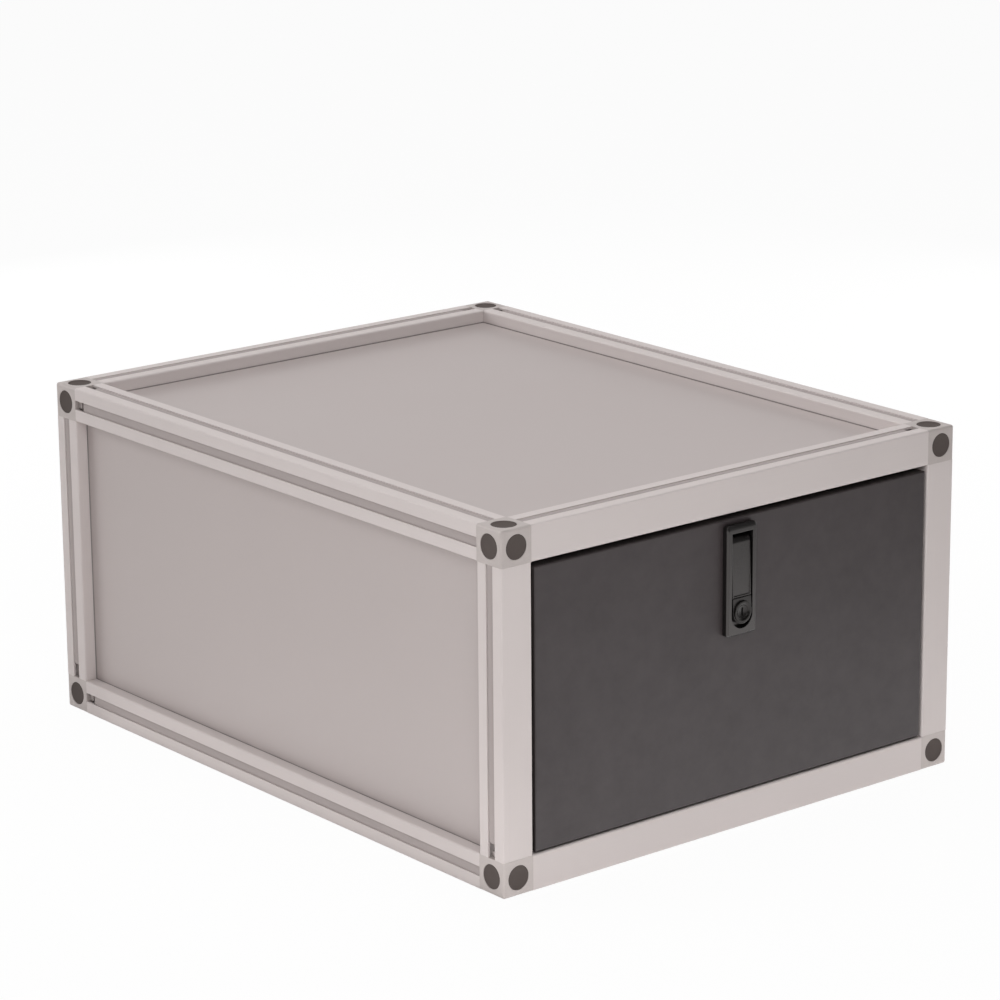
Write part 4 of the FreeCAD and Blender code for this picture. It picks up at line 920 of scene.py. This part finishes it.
class CornerCaps(bpy.types.Operator):
    """Model one moulded cap and press a copy into each outer face of the corner blocks"""

    bl_idname = "drawer_module.corner_caps"
    bl_label = "Corner caps"

    def execute(self, context):
        sizes = settings("cap_sizes")
        low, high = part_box("corner_caps")
        bpy.ops.object.select_all(action="DESELECT")
        bpy.ops.mesh.primitive_cylinder_add(
            vertices=sizes.sides, radius=sizes.radius, depth=sizes.thickness,
            location=(0, 0, -sizes.thickness / 2), end_fill_type="NGON")
        cap = context.object
        cap.name = "corner_cap_first"
        bpy.ops.object.transform_apply(location=True, rotation=False, scale=False)
        pick_edges(cap, lambda a, b: min(a.z, b.z) > -SAME)
        bpy.ops.mesh.bevel(offset=sizes.rim_radius, segments=4, profile=0.5, affect="EDGES")
        bpy.ops.object.mode_set(mode="OBJECT")
        pick_faces(cap, lambda c, n: n.z > 0.99 and c.z > -SAME)
        bpy.ops.mesh.inset(thickness=sizes.land, depth=0.0)
        bpy.ops.mesh.inset(thickness=sizes.slope, depth=-sizes.face_dip)
        bpy.ops.mesh.inset(thickness=sizes.ring, depth=0.0)
        bpy.ops.object.mode_set(mode="OBJECT")
        pick_faces(cap, lambda c, n: n.z < -0.99)
        bpy.ops.mesh.inset(thickness=sizes.radius - sizes.skirt, depth=0.0)
        bpy.ops.mesh.extrude_region_move(TRANSFORM_OT_translate={"value": (0, 0, -sizes.reach)})
        bpy.ops.mesh.inset(thickness=sizes.wall, depth=0.0)
        bpy.ops.mesh.extrude_region_move(TRANSFORM_OT_translate={"value": (0, 0, sizes.reach)})
        settle(cap)
        half = (high - low) / 2
        middle = (high + low) / 2
        copies = []
        for axis, *signs in product(range(3), (-1, 1), (-1, 1), (-1, 1)):
            spot = Vector(middle[i] + signs[i] * (half[i] - sizes.centre) for i in range(3))
            spot[axis] = middle[axis] + signs[axis] * half[axis]
            outward = Vector((0, 0, 0))
            outward[axis] = signs[axis]
            select_only(cap)
            bpy.ops.object.duplicate(linked=False)
            copy = context.object
            turn = outward.to_track_quat("Z", "Y").to_matrix().to_4x4()
            copy.matrix_world = Matrix.Translation(spot) @ turn
            copies.append(copy)
        bpy.data.objects.remove(cap)
        select_only(*copies)
        bpy.ops.object.join()
        caps = context.object
        caps.name = "corner_caps_moulded"
        settle(caps)
        install(caps, finish("cap_moulding"), "corner_caps")
        return {"FINISHED"}


class Studio(bpy.types.Operator):
    """Set up the pale floor, the soft lamps, the even light and the camera"""

    bl_idname = "drawer_module.studio"
    bl_label = "Studio"

    def floor(self, context, values):
        """A floor that is white to the camera and dims away in reflections."""
        bpy.ops.mesh.primitive_plane_add(
            size=values.floor_size, location=(0, 0, -values.floor_drop))
        floor = context.object
        floor.name = "studio_floor"
        bpy.ops.object.mode_set(mode="EDIT")
        bpy.ops.mesh.subdivide(number_cuts=6)
        bpy.ops.object.mode_set(mode="OBJECT")
        material = bpy.data.materials.new("studio_white")
        material.use_nodes = True
        tree = material.node_tree
        tree.nodes.clear()
        matt = place(tree, "BsdfDiffuse", {"Color": (*values.floor_white, 1.0)})
        path = place(tree, "LightPath").outputs
        own = place(tree, "TexCoord").outputs["Object"]
        front = place(tree, "SeparateXYZ", {0: own}).outputs["Y"]
        nearness = spread(tree, front, values.floor_end, 1.0, *FLOOR_FADE, smooth=True)
        shown = mixed_number(tree, path["Is Camera Ray"], nearness, 1.0)
        white = place(tree, "Emission", {"Color": (1, 1, 1, 1), "Strength": shown})
        seen = number(tree, "MAXIMUM", path["Is Camera Ray"], number(
            tree, "MAXIMUM", path["Is Glossy Ray"], path["Is Transmission Ray"]))
        amount = number(tree, "MULTIPLY", seen, 1.0 - values.shadow)
        mixed = place(tree, "MixShader", {0: amount, 1: matt.outputs[0], 2: white.outputs[0]})
        place(tree, "OutputMaterial", {"Surface": mixed.outputs[0]})
        floor.data.materials.append(material)

    def lamp(self, name, power, size, place_at, aim, mirrored):
        """A soft lamp; one that isn't mirrored lights the module but shows in no reflection."""
        data = bpy.data.lights.new(name, "AREA")
        data.energy = power
        data.shape = "RECTANGLE"
        data.size, data.size_y = size
        lamp = bpy.data.objects.new(name, data)
        lamp.location = place_at
        lamp.rotation_euler = (Vector(aim) - Vector(place_at)).to_track_quat("-Z", "Y").to_euler()
        bpy.context.scene.collection.objects.link(lamp)
        lamp.visible_camera = False
        lamp.visible_glossy = mirrored

    def world(self, context, values):
        """White at the horizon and on the background, and dimmer overhead."""
        world = bpy.data.worlds.new("studio_light")
        context.scene.world = world
        world.use_nodes = True
        tree = world.node_tree
        tree.nodes.clear()
        path = place(tree, "LightPath").outputs
        mirrored = number(tree, "MAXIMUM", path["Is Glossy Ray"], path["Is Transmission Ray"])
        heading = place(tree, "TexCoord").outputs["Generated"]
        height = place(tree, "SeparateXYZ", {0: heading}).outputs["Z"]
        graded = spread(tree, height, 1.0, values.ceiling, *HORIZON, smooth=True)
        backdrop = dot(tree, heading, LOOKING_ALONG)
        reflected = spread(tree, backdrop, values.room, 1.0, -0.1, 0.5, smooth=True)
        share_seen = mixed_number(tree, mirrored, values.ambient, reflected)
        level = number(tree, "MULTIPLY", graded, share_seen)
        strength = mixed_number(tree, path["Is Camera Ray"], level, 1.0)
        light = place(tree, "Background", {"Color": (1, 1, 1, 1), "Strength": strength})
        place(tree, "OutputWorld", {"Surface": light.outputs[0]})

    def execute(self, context):
        values = settings("studio")
        self.floor(context, values)
        self.world(context, values)
        up = Vector((0, 0, 1))
        front_card, left_card = Vector((-0.2, -0.71, -0.0001)), Vector((-0.6, -0.1, -0.0001))
        # Name, power, size, place and the point it is aimed at
        for name, power, size, spot, aim in (
            ("front_card", values.floor_front, (1.4, 0.8), front_card, front_card + up),
            ("left_card", values.floor_left, (0.7, 0.7), left_card, left_card + up),
            ("front_left_lamp", values.front_left, (1.0, 1.0), (-1.1, -1.3, 1.3), (0, 0, 0.15)),
            ("back_left_lamp", values.back_left, (2.4, 2.4), (-2.8, 3.2, 2.0), (0, 0, 0.2)),
            ("overhead_lamp", values.overhead, (1.6, 1.6), (0.1, 0.1, 2.0), (0, 0, 0.3)),
            ("front_lamp", values.front_high, (1.6, 1.0), (0.1, -1.6, 1.7), (0, -0.3, 0.15)),
            ("left_lamp", values.side_left, (1.4, 0.9), (-1.8, 0.2, 0.7), (-0.2, 0, 0.15)),
            ("right_lamp", values.side_right, (1.4, 0.9), (1.8, 0.4, 0.6), (0.2, 0.1, 0.15)),
            ("rear_lamp", values.behind, (1.4, 0.9), (0.3, 1.9, 0.6), (0, 0.2, 0.15)),
        ):
            self.lamp(name, power, size, spot, aim, name not in ("right_lamp", "rear_lamp"))
        data = bpy.data.cameras.new("camera")
        data.lens, data.sensor_width = LENS, SENSOR
        data.clip_start, data.clip_end = 0.05, 60.0
        camera = bpy.data.objects.new("camera", data)
        context.scene.collection.objects.link(camera)
        camera.matrix_world = (
            Matrix.Translation(CAMERA_PLACE)
            @ Matrix.Rotation(math.radians(CAMERA_HEADING), 4, "Z")
            @ Matrix.Rotation(math.radians(CAMERA_TILT), 4, "X")
            @ Matrix.Rotation(math.radians(CAMERA_ROLL), 4, "Z"))
        context.scene.camera = camera
        context.scene.view_settings.view_transform = "Standard"
        return {"FINISHED"}


OPERATORS = (DressFrame, DressSlides, DressDrawer, DressLatch, CoverStrips, CornerCaps, Studio)
GROUPS_OF_SETTINGS = {
    "finish_colours": FinishColours,
    "surface_sizes": SurfaceSizes,
    "cap_sizes": CapSizes,
    "strip_sizes": StripSizes,
    "latch_sizes": LatchSizes,
    "studio": StudioSettings,
}


class DrawerModulePanel(bpy.types.Panel):
    """Lists the pieces and their settings"""

    bl_idname = "VIEW3D_PT_drawer_module"
    bl_label = "Drawer module"
    bl_space_type = "VIEW_3D"
    bl_region_type = "UI"
    bl_category = "Drawer module"

    def draw(self, context):
        for name, kind in GROUPS_OF_SETTINGS.items():
            box = self.layout.box()
            box.label(text=name.replace("_", " ").capitalize())
            for key in kind.__annotations__:
                box.prop(getattr(context.scene, name), key)
        for operator in OPERATORS:
            self.layout.operator(operator.bl_idname)


def register():
    for kind in (*GROUPS_OF_SETTINGS.values(), *OPERATORS, DrawerModulePanel):
        bpy.utils.register_class(kind)
    for name, kind in GROUPS_OF_SETTINGS.items():
        setattr(bpy.types.Scene, name, PointerProperty(type=kind))


def unregister():
    for name in GROUPS_OF_SETTINGS:
        delattr(bpy.types.Scene, name)
    for kind in (DrawerModulePanel, *reversed(OPERATORS), *GROUPS_OF_SETTINGS.values()):
        bpy.utils.unregister_class(kind)


def main():
    for spare in [o for o in bpy.data.objects if o.name in ("Cube", "Light", "Camera")]:
        bpy.data.objects.remove(spare)
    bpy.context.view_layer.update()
    register()
    for operator in OPERATORS:
        getattr(bpy.ops.drawer_module, operator.bl_idname.split(".")[1])()


if __name__ == "__main__":
    main()
